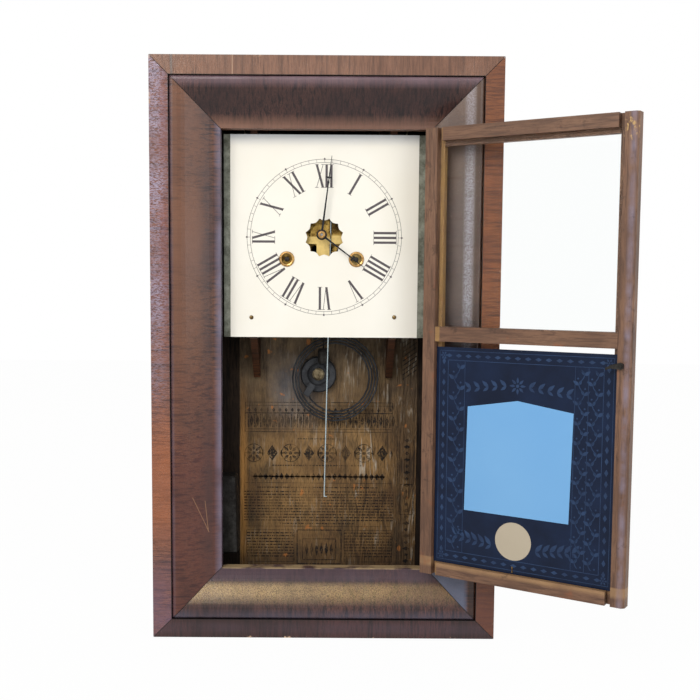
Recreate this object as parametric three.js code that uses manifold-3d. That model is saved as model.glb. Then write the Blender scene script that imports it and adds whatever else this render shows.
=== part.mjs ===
// Ogee shelf clock: a thirty-hour weight clock in a veneered frame case, with its door open.
// Millimetres. X points right, Y points back and Z points up. The origin is the middle of the base.
import * as THREE from 'three';
import { mergeVertices } from 'three/addons/utils/BufferGeometryUtils.js';
import Module from 'manifold-3d';

const wasm = await Module();
wasm.setup();

// ---------------------------------------------------------------------------------------------
// Case sizes
// ---------------------------------------------------------------------------------------------
const caseWidth = 394;
const caseHeight = 660;
const caseDepth = 108;
const bandWidth = 21.5;
const ogeeWidth = 56;
const ogeeDrop = 17.5;
const ogeeShoulder = 5;
const ogeeQuirk = 4;
const ogeeThickness = 32;
const backboardThickness = 8;
const backRabbet = 9;
const jointGap = 0.3;

// Label pasted on the backboard
const labelThickness = 0.4;
const labelLeftGap = 14;
const labelRightGap = 6.5;
const labelRise = 36.5;
const labelBehindDial = 83.5;

// Rails that carry the movement and the dial; their lower ends slope back to the backboard
const railAside = -1;
const railInnerHalf = 76.5;
const railThickness = 8;
const railTopGap = 36.5;
const railHeight = 308;
const railSlopeHeight = 50;
const railToeHeight = 8;
const railToeDepth = 14;
const railToeFoot = 5;
const railLedgeWidth = 11;
const railLedgeHeight = 250;
const cordSlotHeight = 58;
const cordSlotDepth = 18;

// ---------------------------------------------------------------------------------------------
// Door sizes, in the closed position
// ---------------------------------------------------------------------------------------------
const doorSideGap = 1;
const doorEndGap = 1.25;
const doorThickness = 14.5;
const doorFrontDepth = 16;
const doorMemberWidth = 20;
const doorRabbetWidth = 5.5;
const doorLipThickness = 6.5;
const doorEdgeBevel = 3;
const doorFrontRounding = 1.2;
const midRailHeight = 16.4;
const upperLightHeight = 219.25;
const glassThickness = 1.8;
const glassEdgeGap = 0.6;
const glassGrooveDepth = 3;
const tabletDrop = 6.2;
const doorOpenAngle = 146.6;

// Hinges
const hingeAxisDepth = 13.8;
const knuckleRadius = 1.9;
const hingePinRadius = 0.8;
const hingeLength = 38;
const hingeLeafThickness = 0.8;
const hingeLeafReach = 14.5;
const hingeInset = 58;

// Door latch
const latchBelowRail = 17.2;
const latchInset = 10.2;
const latchShaftRadius = 1.8;
const latchArmLength = 15.5;
const latchArmWidth = 6;
const latchArmThickness = 1.8;
const latchKnobRadius = 6;
const latchKnobLength = 9;
const latchRivetHeight = 0.8;

// ---------------------------------------------------------------------------------------------
// Dial sizes
// ---------------------------------------------------------------------------------------------
const dialFrontDepth = 38;
const dialThickness = 0.6;
const panThickness = 1;
const panWidth = 232;
const panHeight = 232.5;
const panTopGap = 3.5;
const panFlange = 2.6;
const plateWidth = 217;
const dialCentreX = -2;
const dialBelowPanTop = 117;
const starPoints = 12;
const starTipRadius = 22.4;
const starWaistRadius = 19.6;
const starHoleMargin = 1.5;
const grommetOuterRadius = 9;
const grommetBoreRadius = 6.2;
const grommetFlange = 1.4;
const grommetNeckRadius = 7.4;
const grommetTail = 0.6;

// ---------------------------------------------------------------------------------------------
// Movement sizes
// ---------------------------------------------------------------------------------------------
const movementAside = -3;
const movementRise = 3;
const frontPlateDepth = 50;
const backPlateDepth = 80;
const plateThickness = 1.5;
const plateHalfWidth = 60;
const plateBelow = 74;
const plateAbove = 80;
const plateBorder = 10;
const pillarRadius = 3;
const pillarInset = 5;
const pivotRadius = 0.8;
const pivotClearance = 0.3;
const arborRadius = 1.3;
const windingAcross = 40.3;
const windingBelow = 28;
const greatTeeth = 60;
const greatModule = 1;
const secondPinionLeaves = 10;
const secondTeeth = 54;
const secondModule = 0.64;
const thirdTeeth = 48;
const thirdModule = 0.66;
const smallPinionLeaves = 6;
const transferTeeth = 24;
const escapeTeeth = 40;
const escapeRadius = 15.6;
const escapeToothDepth = 2.4;
const escapeThickness = 1;
const wheelThickness = 1.4;
const drumRadius = 11.7;
const drumFlangeRadius = 14.6;
const drumFlange = 1.3;
const drumHubRadius = 9;
const drumNose = 4.5;
const windingArborRadius = 2.7;
const windingSquare = 4.6;
const squareSetBack = 1;
const runningClearance = 0.35;
const earInset = 6;
const earHeight = 11;
const earLap = 2;
const plateCorner = 4;
const footBorder = 16;
const centreBarTop = 8;
const centreBarBottom = -10;
const upperWindowLeft = -31;
const upperWindowRight = 26;
const lowerWindowOuter = 33;
const lowerWindowLeft = -6;
const lowerWindowRight = 9;
const middleWindowLeft = -15.5;
const middleWindowRight = 9.2;
const middleWindowBottom = -1.5;
const arborShoulder = 0.6;
const pivotTail = 0.3;
const rodPostRadius = 2.4;
const rodPostAbove = 6;

// Depths of the wheels and drums behind the front face of the case
const greatDepth = 56;
const greatThickness = 2;
const drumFront = 61.8;
const drumBack = 77.5;
const secondDepth = 74;
const transferDepth = 62;
const thirdDepth = 66;
const escapeDepth = 57.5;
const palletClearance = 1.3;
const palletThickness = 1.6;
const palletSpan = 62;
const palletMargin = 1.5;
const palletArm = 1.2;
const countWheelRadius = 24;
const countSlotDepth = 3.2;
const countWheelThickness = 1;
const countWheelGap = 2.2;
const strikePins = 13;
const strikePinReach = 14.4;
const strikePinRadius = 0.7;
const strikePinLength = 3;
const pinionMargin = 1.6;
const shroudThickness = 0.9;
const fanHalfWidth = 12;
const fanFront = 54;
const fanBack = 62.5;
const fanThickness = 0.7;

// Motion work and hands
const cannonTeeth = 14;
const minuteWheelTeeth = 42;
const minutePinionTeeth = 12;
const hourWheelTeeth = 48;
const motionModule = 0.6;
const minuteArborRadius = 1.9;
const hourPipeRadius = 3.5;
const centreBossRadius = 6.2;
const minuteStudRadius = 1.2;
const hourWheelDepth = 52.2;
const hourWheelThickness = 1.2;
const cannonDepth = 55;
const motionThickness = 1.5;
const minuteArborTip = 1.6;
const hourHandDepth = 33.6;
const minuteHandDepth = 30.4;
const minuteHandLength = 90.2;
const hourHandLength = 62;
const minuteHandAngle = 7.2;
const hourHandAngle = 127;
const handThickness = 0.6;
const handSeatGap = 0.25;

// Pendulum and crutch
const pendulumAcross = 11.7;
const pendulumAbove = 61;
const rodDepth = 47.5;
const rodRadius = 0.75;
const crutchWire = 0.4;
const rodTopAside = -0.1;
const rodFootAside = -7;
const rodLength = 366;
const springLength = 10;
const springHalfWidth = 1.2;
const springThickness = 0.5;
const springAhead = 1.55;
const springAbove = 3.2;
const springClipLength = 6;
const springClipRadius = 0.85;
const bobHookLength = 4;
const bobHookReach = 3;
const crutchLength = 34;

// ---------------------------------------------------------------------------------------------
// Gong, hammer, weights and cords
// ---------------------------------------------------------------------------------------------
const gongBaseAside = -3.5;
const gongBaseBelow = 167;
const gongBaseRadius = 22;
const gongBaseThickness = 8;
const gongRecessRadius = 13;
const gongRecessDepth = 5;
const gongScrewRadius = 7.5;
const gongScrewHeight = 3.4;
const gongBoltRadius = 2;
const gongBaseBore = 2.4;
const gongBaseRounding = 1.5;
const gongRivetAcross = 17.5;
const gongRivetRadius = 1.6;
const gongRivetHeight = 0.7;
const gongCoilAcross = 19.5;
const gongCoilDrop = 4;
const gongCoilInnerRadius = 41;
const gongCoilTurns = 3.75;
const gongCoilPitch = 3.4;
const gongWireRadius = 1.1;
const gongWireDepth = 86.5;
const gongLoopSteps = 24;
const gongWireSides = 6;
const gongBlockAngle = 209;
const gongBlockWidth = 8;
const gongBlockBeyond = 3;
const gongLeadIn = 3;
const gongLeadSteps = 8;
const hammerPivotAcross = 2.6;
const hammerPivotBelow = 66;
const hammerHeadAside = 6.1;
const hammerHeadAbove = 23.8;
const hammerWireRadius = 0.9;
const hammerWireDepth = 72.5;
const hammerTailRadius = 0.8;
const hammerTailAcross = 2.4;
const hammerTailDrop = 17.2;
const hammerBendBelow = 38;
const hammerHeadRadius = 7;
const hammerHeadHeight = 18;
const hammerHeadDepth = 83.5;

const cordRadius = 1;
const cordDepth = 68;
const weightBeyondOpening = 13.5;
const weightBottomWidth = 60;
const weightTopWidth = 55;
const weightThickness = 36;
const weightHeight = 93;
const weightBevel = 2;
const weightEdgeRounding = 5;
const weightEyeRadius = 5;
const weightEyeWire = 1.5;
const strikeWeightRise = 64;
const timeWeightDrop = 265;
const pulleyGrooveRadius = 13;
const pulleyRimRadius = 15.5;
const pulleyThickness = 7;
const pulleyBelowBoard = 21.5;
const pulleyRimThickness = 1;
const pulleyAxleRadius = 1.6;
const bracketSheet = 1.5;
const bracketHalfWidth = 6;
const cheekHalfWidth = 5;
const cordSides = 6;

// ---------------------------------------------------------------------------------------------
// Derived places
// ---------------------------------------------------------------------------------------------
const TAU = Math.PI * 2;
const degrees = Math.PI / 180;
const atDepth = (depth) => depth - caseDepth / 2;
const openingHalf = caseWidth / 2 - bandWidth - ogeeWidth;
const openingBottom = bandWidth + ogeeWidth;
const openingTop = caseHeight - bandWidth - ogeeWidth;
const backboardFront = caseDepth - backboardThickness;
const labelFront = backboardFront - jointGap - labelThickness;
const panFront = dialFrontDepth + dialThickness + jointGap;
const panBack = panFront + panThickness;
const railFront = panBack + jointGap;
const doorHalf = openingHalf - doorSideGap;
const doorBottom = openingBottom + doorEndGap;
const doorTop = openingTop - doorEndGap;
const doorBackDepth = doorFrontDepth + doorThickness;
const hingeAxisX = openingHalf - doorSideGap / 2;
const hingeLeafBack = hingeAxisDepth + hingeLeafReach;
const railLedgeFront = backPlateDepth + plateThickness + jointGap;
const ceiling = caseHeight - bandWidth - jointGap;
const panBottom = openingTop - panTopGap - panHeight;
const dialCentreZ = panBottom + panHeight - dialBelowPanTop;
const centreX = dialCentreX + movementAside;
const centreZ = dialCentreZ + movementRise;
const midRailBottom = doorTop - upperLightHeight - midRailHeight;
const midRailTop = midRailBottom + midRailHeight;
const latchHeight = midRailBottom - latchBelowRail;
const labelLeft = -openingHalf + labelLeftGap;
const labelRight = openingHalf - labelRightGap;
const labelBottom = bandWidth + labelRise;
const labelTop = panBottom + labelBehindDial;
const railCentre = dialCentreX + railAside;
const railTop = caseHeight - bandWidth - railTopGap;
const railBottom = railTop - railHeight;
const railLedgeBottom = railTop - railLedgeHeight;
const gongBaseX = centreX + gongBaseAside;
const gongBaseZ = centreZ - gongBaseBelow;
const gongCoilX = gongBaseX + gongCoilAcross;
const gongCoilZ = gongBaseZ - gongCoilDrop;
const hammerHeadX = gongBaseX + hammerHeadAside;
const hammerHeadZ = gongBaseZ + hammerHeadAbove;
const pulleyX = openingHalf + weightBeyondOpening - pulleyGrooveRadius - cordRadius;
const pulleyHeight = caseHeight - bandWidth - pulleyBelowBoard;
const strikeWeightBottom = bandWidth + strikeWeightRise;
const timeWeightBottom = pulleyHeight - timeWeightDrop;

// A cutter runs this far past what it cuts, and a joined form laps its neighbour by half as much
const overrun = 1;
const lap = overrun / 2;

// ---------------------------------------------------------------------------------------------
// Finishes
// ---------------------------------------------------------------------------------------------
function finish(color, roughness, metalness) {
  return new THREE.MeshStandardMaterial({ color, roughness, metalness });
}

const finishes = {
  bandVeneer: finish(0x6b3a24, 0.42, 0),
  ogeeVeneer: finish(0x4c2c24, 0.32, 0),
  bareWood: finish(0x8a6a4c, 0.8, 0),
  darkWood: finish(0x5a4334, 0.75, 0),
  doorWood: finish(0x7c6459, 0.55, 0),
  paper: finish(0x8b7355, 0.9, 0),
  glass: finish(0xdfe6e4, 0.05, 0),
  tablet: finish(0x1d2a40, 0.2, 0),
  zinc: finish(0x8b8f86, 0.5, 0.7),
  dialPaint: finish(0xf2efe4, 0.45, 0),
  brass: finish(0xc8a24e, 0.35, 0.9),
  steel: finish(0x9a9b9c, 0.35, 0.95),
  blackSteel: finish(0x17181c, 0.4, 0.6),
  iron: finish(0x3a3733, 0.7, 0.7),
  leather: finish(0x3b2a20, 0.8, 0),
  cord: finish(0xb9ab8d, 0.9, 0),
};

// ---------------------------------------------------------------------------------------------
// Solid tools
// ---------------------------------------------------------------------------------------------

// Shares the corners of a closed geometry, drops slivers and turns its faces outward.
function closed(geometry) {
  const bare = geometry.clone();
  bare.deleteAttribute('normal');
  bare.deleteAttribute('uv');
  const merged = mergeVertices(bare, 1e-4);
  const place = merged.attributes.position;
  const corners = merged.index.array;
  const kept = [];
  let volume = 0;
  const a = new THREE.Vector3();
  const b = new THREE.Vector3();
  const c = new THREE.Vector3();
  for (let i = 0; i < corners.length; i += 3) {
    const [p, q, r] = [corners[i], corners[i + 1], corners[i + 2]];
    if (p === q || q === r || r === p) continue;
    kept.push(p, q, r);
    a.fromBufferAttribute(place, p);
    b.fromBufferAttribute(place, q);
    c.fromBufferAttribute(place, r);
    volume += a.dot(b.cross(c));
  }
  if (volume < 0) kept.reverse();
  merged.setIndex(kept);
  return merged;
}

function toSolid(geometry) {
  const shell = closed(geometry);
  const vertProperties = new Float32Array(shell.attributes.position.array);
  const triVerts = new Uint32Array(shell.index.array);
  return new wasm.Manifold(new wasm.Mesh({ numProp: 3, vertProperties, triVerts }));
}

function toGeometry(solid) {
  const mesh = solid.getMesh();
  const geometry = new THREE.BufferGeometry();
  geometry.setAttribute('position', new THREE.BufferAttribute(new Float32Array(mesh.vertProperties), 3));
  geometry.setIndex(new THREE.BufferAttribute(new Uint32Array(mesh.triVerts), 1));
  return geometry;
}

function join(...geometries) {
  return toGeometry(geometries.map(toSolid).reduce((whole, next) => whole.add(next)));
}

function cut(geometry, ...tools) {
  return toGeometry(tools.map(toSolid).reduce((whole, tool) => whole.subtract(tool), toSolid(geometry)));
}

// ---------------------------------------------------------------------------------------------
// Form tools. Front views are drawn in (x, z); depths are measured back from the case's front face.
// ---------------------------------------------------------------------------------------------
function block(left, right, front, back, bottom, top) {
  const geometry = new THREE.BoxGeometry(right - left, back - front, top - bottom);
  return geometry.translate((left + right) / 2, atDepth((front + back) / 2), (bottom + top) / 2);
}

function circle(radius, sides, x = 0, z = 0, turn = 0) {
  const points = [];
  for (let n = 0; n < sides; n += 1) {
    const angle = turn + (n / sides) * TAU;
    points.push(new THREE.Vector2(x + radius * Math.cos(angle), z + radius * Math.sin(angle)));
  }
  return points;
}

function rectangle(left, right, bottom, top, rounding = 0) {
  if (rounding === 0) {
    const corners = [[left, bottom], [right, bottom], [right, top], [left, top]];
    return corners.map(([x, z]) => new THREE.Vector2(x, z));
  }
  const points = [];
  const centres = [
    [right - rounding, top - rounding],
    [left + rounding, top - rounding],
    [left + rounding, bottom + rounding],
    [right - rounding, bottom + rounding],
  ];
  centres.forEach(([x, z], corner) => {
    for (let step = 0; step <= 2; step += 1) {
      const angle = (corner + step / 2) * (Math.PI / 2);
      points.push(new THREE.Vector2(x + rounding * Math.cos(angle), z + rounding * Math.sin(angle)));
    }
  });
  return points;
}

// A plate drawn in front view, from one depth to another, with holes cut through it.
function plate(outline, front, back, holes = []) {
  const shape = new THREE.Shape(outline);
  const sheet = new THREE.ExtrudeGeometry(shape, { depth: back - front, bevelEnabled: false });
  sheet.rotateX(Math.PI / 2).translate(0, atDepth(back), 0);
  if (holes.length === 0) return sheet;
  return cut(sheet, ...holes.map((hole) => plate(hole, front - overrun, back + overrun)));
}

// A round piece about an axis that runs front to back; profile holds [radius, depth] points.
function turned(profile, x, z, sides) {
  const points = profile.map(([radius, depth]) => new THREE.Vector2(radius, atDepth(depth)));
  return new THREE.LatheGeometry(points, sides).translate(x, 0, z);
}

function rod(radius, front, back, x, z, sides = 8) {
  return turned([[0, front], [radius, front], [radius, back], [0, back]], x, z, sides);
}

function washer(inner, outer, front, back, x, z, sides) {
  return turned([[inner, front], [outer, front], [outer, back], [inner, back], [inner, front]], x, z, sides);
}

// A strip of constant section, mitred at both ends, on one side of a rectangular frame.
// The section is a list of [distance in from the frame's edge, depth] points.
function mitredStrip(section, side, width, height, bottom) {
  const shape = new THREE.Shape(section.map(([inward, depth]) => new THREE.Vector2(inward, depth)));
  const geometry = new THREE.ExtrudeGeometry(shape, { depth: 1, bevelEnabled: false });
  const place = geometry.attributes.position;
  const upright = side === 'left' || side === 'right';
  const length = (upright ? height : width) - 1.5 * jointGap;
  for (let i = 0; i < place.count; i += 1) {
    const inward = place.getX(i);
    const depth = place.getY(i);
    const along = (place.getZ(i) - 0.5) * (length - 2 * inward);
    const middle = bottom + height / 2;
    if (side === 'left') place.setXYZ(i, -width / 2 + inward, atDepth(depth), middle + along);
    if (side === 'right') place.setXYZ(i, width / 2 - inward, atDepth(depth), middle + along);
    if (side === 'bottom') place.setXYZ(i, along, atDepth(depth), bottom + inward);
    if (side === 'top') place.setXYZ(i, along, atDepth(depth), bottom + height - inward);
  }
  return closed(geometry);
}

// A straight round bar between two points, by their front view and depth.
function wire(start, end, radius, sides = 6) {
  const from = new THREE.Vector3(start[0], atDepth(start[2]), start[1]);
  const to = new THREE.Vector3(end[0], atDepth(end[2]), end[1]);
  const geometry = new THREE.CylinderGeometry(radius, radius, from.distanceTo(to), sides);
  const turn = new THREE.Quaternion().setFromUnitVectors(
    new THREE.Vector3(0, 1, 0),
    to.clone().sub(from).normalize(),
  );
  const middle = from.clone().add(to).multiplyScalar(0.5);
  return geometry.applyQuaternion(turn).translate(middle.x, middle.y, middle.z);
}

const clock = new THREE.Group();

function add(name, geometry, material, group = clock) {
  const mesh = new THREE.Mesh(closed(geometry), material);
  mesh.name = name;
  group.add(mesh);
  return mesh;
}

// ---------------------------------------------------------------------------------------------
// Case: four mitred boards, a backboard and the ogee mouldings
// ---------------------------------------------------------------------------------------------
function ogeeSection() {
  const inset = bandWidth + jointGap;
  const points = [[inset, ogeeThickness], [inset, ogeeQuirk]];
  for (let step = 1; step <= 3; step += 1) {
    const angle = (step / 3) * (Math.PI / 2);
    const inward = bandWidth + ogeeShoulder - (ogeeShoulder - jointGap) * Math.cos(angle);
    points.push([inward, ogeeQuirk * (1 - Math.sin(angle))]);
  }
  const run = ogeeWidth - ogeeShoulder;
  const steps = 12;
  for (let step = 1; step <= steps; step += 1) {
    const share = step / steps;
    const depth = (ogeeDrop * (1 - Math.cos(Math.PI * share))) / 2;
    points.push([bandWidth + ogeeShoulder + run * share, depth]);
  }
  points.push([bandWidth + ogeeWidth, ogeeThickness]);
  return points;
}

function hingePlaces() {
  return [['upper', openingTop - hingeInset - hingeLength], ['lower', openingBottom + hingeInset]];
}

function buildCase() {
  const boardSection = [
    [0, 0],
    [bandWidth, 0],
    [bandWidth, backboardFront - jointGap],
    [backRabbet - jointGap, backboardFront - jointGap],
    [backRabbet - jointGap, caseDepth],
    [0, caseDepth],
  ];
  const boardNames = {
    left: 'side_board_left',
    right: 'side_board_right',
    top: 'top_board',
    bottom: 'bottom_board',
  };
  for (const [side, name] of Object.entries(boardNames)) {
    add(name, mitredStrip(boardSection, side, caseWidth, caseHeight, 0), finishes.bandVeneer);
  }
  const section = ogeeSection();
  for (const side of ['left', 'top', 'bottom']) {
    const moulding = mitredStrip(section, side, caseWidth, caseHeight, 0);
    add(`ogee_moulding_${side}`, moulding, finishes.ogeeVeneer);
  }
  const mortises = hingePlaces().map(([, bottom]) => block(
    openingHalf - overrun,
    openingHalf + hingeLeafThickness + jointGap,
    ogeeDrop - 2 * overrun,
    hingeLeafBack + jointGap,
    bottom - jointGap,
    bottom + hingeLength + jointGap,
  ));
  const hinged = cut(mitredStrip(section, 'right', caseWidth, caseHeight, 0), ...mortises);
  add('ogee_moulding_right', hinged, finishes.ogeeVeneer);

  const half = caseWidth / 2 - backRabbet;
  add(
    'backboard',
    block(-half, half, backboardFront, caseDepth, backRabbet, caseHeight - backRabbet),
    finishes.darkWood,
  );
  add(
    'label_paper',
    block(labelLeft, labelRight, labelFront, labelFront + labelThickness, labelBottom, labelTop),
    finishes.paper,
  );
}

// Each rail carries the dial on its front edge and the movement on a ledge, and lets the cord through.
function buildRails() {
  const back = labelFront - jointGap;
  const slotMiddle = cordHeightAt(railInnerHalf + railThickness / 2);
  for (const side of [-1, 1]) {
    const inner = railCentre + side * railInnerHalf;
    const outer = inner + side * railThickness;
    const ledge = inner - side * railLedgeWidth;
    const profile = new THREE.Shape([
      [railFront, railBottom + railSlopeHeight],
      [back - railToeDepth, railBottom + railToeHeight],
      [back - railToeFoot, railBottom],
      [back, railBottom],
      [back, railTop],
      [railFront, railTop],
    ].map(([depth, height]) => new THREE.Vector2(atDepth(depth), height)));
    const web = new THREE.ExtrudeGeometry(profile, { depth: railThickness, bevelEnabled: false });
    const turn = new THREE.Matrix4().makeBasis(
      new THREE.Vector3(0, 1, 0),
      new THREE.Vector3(0, 0, 1),
      new THREE.Vector3(1, 0, 0),
    );
    web.applyMatrix4(turn).translate(Math.min(inner, outer), 0, 0);
    const ledgeBlock = block(
      Math.min(ledge, inner) - (side > 0 ? 0 : lap),
      Math.max(ledge, inner) + (side > 0 ? lap : 0),
      railLedgeFront,
      back,
      railLedgeBottom,
      railTop,
    );
    const slot = block(
      Math.min(inner, outer) - overrun,
      Math.max(inner, outer) + overrun,
      cordDepth - cordSlotDepth / 2,
      cordDepth + cordSlotDepth / 2,
      slotMiddle - cordSlotHeight / 2,
      slotMiddle + cordSlotHeight / 2,
    );
    const name = side < 0 ? 'movement_rail_left' : 'movement_rail_right';
    add(name, cut(join(web, ledgeBlock), slot), finishes.darkWood);
  }
}

// ---------------------------------------------------------------------------------------------
// Door, built shut and then swung open about its hinge axis
// ---------------------------------------------------------------------------------------------
const door = new THREE.Group();
const doorTurn = new THREE.Group();

function doorSection(backBevel) {
  const points = [
    [doorFrontRounding, doorFrontDepth],
    [doorMemberWidth, doorFrontDepth],
    [doorMemberWidth, doorFrontDepth + doorLipThickness],
    [doorMemberWidth - doorRabbetWidth, doorFrontDepth + doorLipThickness],
    [doorMemberWidth - doorRabbetWidth, doorBackDepth],
  ];
  if (backBevel > 0) points.push([backBevel, doorBackDepth], [0, doorBackDepth - backBevel]);
  else points.push([0, doorBackDepth]);
  points.push([0, doorFrontDepth + doorFrontRounding]);
  return points;
}

// A straight door member; inward is the direction of the door's middle.
function doorMember(section, side, from, to) {
  const shape = new THREE.Shape(section.map(([inward, depth]) => new THREE.Vector2(inward, depth)));
  const geometry = new THREE.ExtrudeGeometry(shape, { depth: 1, bevelEnabled: false });
  const place = geometry.attributes.position;
  for (let i = 0; i < place.count; i += 1) {
    const inward = place.getX(i);
    const y = atDepth(place.getY(i));
    const along = from + place.getZ(i) * (to - from);
    if (side === 'left') place.setXYZ(i, -doorHalf + inward, y, along);
    if (side === 'right') place.setXYZ(i, doorHalf - inward, y, along);
    if (side === 'bottom') place.setXYZ(i, along, y, doorBottom + inward);
    if (side === 'top') place.setXYZ(i, along, y, doorTop - inward);
  }
  return closed(geometry);
}

function hingeMortise(bottom) {
  return block(
    doorHalf - hingeLeafThickness - jointGap,
    doorHalf + overrun,
    doorFrontDepth - overrun,
    hingeLeafBack + jointGap,
    bottom - jointGap,
    bottom + hingeLength + jointGap,
  );
}

function buildDoorFrame() {
  const inner = doorHalf - doorMemberWidth - jointGap;
  const latchX = -doorHalf + latchInset;
  const latchHole = rod(
    latchShaftRadius + runningClearance,
    doorFrontDepth - overrun,
    doorBackDepth + overrun,
    latchX,
    latchHeight,
    12,
  );
  const hingeStile = doorMember(doorSection(0), 'right', doorBottom, doorTop);
  const mortises = hingePlaces().map(([, bottom]) => hingeMortise(bottom));
  add('door_hinge_stile', cut(hingeStile, ...mortises), finishes.doorWood, door);
  const freeStile = doorMember(doorSection(doorEdgeBevel), 'left', doorBottom, doorTop);
  add('door_free_stile', cut(freeStile, latchHole), finishes.doorWood, door);
  add('door_top_rail', doorMember(doorSection(0), 'top', -inner, inner), finishes.doorWood, door);
  add('door_bottom_rail', doorMember(doorSection(0), 'bottom', -inner, inner), finishes.doorWood, door);

  const lapped = doorHalf - doorMemberWidth + doorRabbetWidth - jointGap;
  const lipBack = doorFrontDepth + doorLipThickness;
  const body = block(-inner, inner, doorFrontDepth, doorBackDepth, midRailBottom, midRailTop);
  const tongue = block(-lapped, lapped, lipBack + jointGap, doorBackDepth, midRailBottom, midRailTop);
  const grooveBack = lipBack + glassThickness + 2 * jointGap;
  const grooves = [
    [midRailBottom - overrun, midRailBottom + glassGrooveDepth],
    [midRailTop - glassGrooveDepth, midRailTop + overrun],
  ].map(([low, high]) => block(-doorHalf, doorHalf, lipBack, grooveBack, low, high));
  add('door_mid_rail', cut(join(body, tongue), ...grooves), finishes.doorWood, door);
}

function buildDoorGlass() {
  const reach = doorHalf - doorMemberWidth + doorRabbetWidth - glassEdgeGap;
  const front = doorFrontDepth + doorLipThickness + jointGap;
  const back = front + glassThickness;
  const sill = doorBottom + doorMemberWidth - doorRabbetWidth + jointGap;
  const head = doorTop - doorMemberWidth + doorRabbetWidth - glassEdgeGap;
  const foot = midRailTop - glassGrooveDepth + jointGap;
  add('door_glass', block(-reach, reach, front, back, foot, head), finishes.glass, door);
  const tabletTop = midRailBottom - tabletDrop;
  add('door_tablet', block(-reach, reach, front, back, sill, tabletTop), finishes.tablet, door);
}

// Each hinge has two outer knuckles on the door leaf and a middle knuckle with the pin on the case leaf.
function buildHinges() {
  const axis = [hingeAxisX, hingeAxisDepth];
  const upright = (radius, bottom, top, sides) => {
    const geometry = new THREE.CylinderGeometry(radius, radius, top - bottom, sides);
    return geometry.rotateX(Math.PI / 2).translate(axis[0], atDepth(axis[1]), (bottom + top) / 2);
  };
  const leaf = (inner, outer, bottom, top) => (
    block(inner, outer, hingeAxisDepth, hingeLeafBack, bottom, top)
  );
  const relief = (bottom, top) => upright(knuckleRadius + jointGap, bottom, top, 16);
  const slit = jointGap / 2;
  for (const [name, bottom] of hingePlaces()) {
    const top = bottom + hingeLength;
    const lowJoint = bottom + hingeLength / 3;
    const highJoint = top - hingeLength / 3;
    const doorPlate = cut(
      leaf(doorHalf - hingeLeafThickness, doorHalf, bottom, top),
      relief(lowJoint - slit, highJoint + slit),
    );
    const doorKnuckles = [
      upright(knuckleRadius, bottom, lowJoint - slit, 12),
      upright(knuckleRadius, highJoint + slit, top, 12),
    ];
    const bore = upright(hingePinRadius + runningClearance, bottom - overrun, top + overrun, 12);
    add(`hinge_${name}_door_leaf`, cut(join(doorPlate, ...doorKnuckles), bore), finishes.brass, door);

    const casePlate = cut(
      leaf(openingHalf, openingHalf + hingeLeafThickness, bottom, top),
      relief(bottom - overrun, lowJoint + slit),
      relief(highJoint - slit, top + overrun),
    );
    const caseKnuckle = upright(knuckleRadius, lowJoint + slit, highJoint - slit, 12);
    const pin = upright(hingePinRadius, bottom, top, 10);
    add(`hinge_${name}_case_leaf`, join(casePlate, caseKnuckle, pin), finishes.brass);
  }
}

function buildLatch() {
  const x = -doorHalf + latchInset;
  const z = latchHeight;
  const armFront = ogeeThickness + jointGap;
  const armBack = armFront + latchArmThickness;
  const knobFront = doorFrontDepth - jointGap - latchKnobLength;
  const collar = doorFrontDepth - jointGap;
  const stem = turned([
    [0, knobFront],
    [latchKnobRadius * 0.75, knobFront],
    [latchKnobRadius, knobFront + latchKnobLength * 0.28],
    [latchKnobRadius * 0.85, knobFront + latchKnobLength * 0.55],
    [latchShaftRadius * 1.4, collar],
    [latchShaftRadius, collar],
    [latchShaftRadius, armBack + latchRivetHeight],
    [0, armBack + latchRivetHeight],
  ], x, z, 12);
  const half = latchArmWidth / 2;
  const arm = [
    [x - half, z - half * 0.8],
    [x, z - half * 1.2],
    [x + latchArmLength * 0.6, z - half * 0.9],
    [x + latchArmLength, z - half * 1.5],
    [x + latchArmLength, z - half * 0.7],
    [x + latchArmLength * 0.6, z + half * 0.4],
    [x, z + half * 1.2],
    [x - half, z + half * 0.8],
  ].map(([px, pz]) => new THREE.Vector2(px, pz));
  add('door_latch', join(stem, plate(arm, armFront, armBack)), finishes.iron, door);
}

function buildDoor() {
  buildDoorFrame();
  buildDoorGlass();
  buildLatch();
  buildHinges();
  door.position.set(-hingeAxisX, -atDepth(hingeAxisDepth), 0);
  doorTurn.add(door);
  doorTurn.rotation.z = doorOpenAngle * degrees;
  doorTurn.position.set(hingeAxisX, atDepth(hingeAxisDepth), 0);
  clock.add(doorTurn);
}

// ---------------------------------------------------------------------------------------------
// Dial: a folded pan behind a painted plate, with a star-shaped centre hole and two winding holes
// ---------------------------------------------------------------------------------------------
function starOutline() {
  const points = [];
  const arcSteps = 4;
  for (let n = 0; n < starPoints; n += 1) {
    for (let step = 0; step < arcSteps; step += 1) {
      const share = step / arcSteps;
      const sag = Math.sin(Math.PI * share);
      const radius = starTipRadius - (starTipRadius - starWaistRadius) * sag;
      const angle = ((n + 0.5 + share) / starPoints) * TAU;
      const x = dialCentreX + radius * Math.cos(angle);
      points.push(new THREE.Vector2(x, dialCentreZ + radius * Math.sin(angle)));
    }
  }
  return points;
}

function windingPlaces() {
  return [
    ['left', centreX - windingAcross, centreZ - windingBelow],
    ['right', centreX + windingAcross, centreZ - windingBelow],
  ];
}

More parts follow.
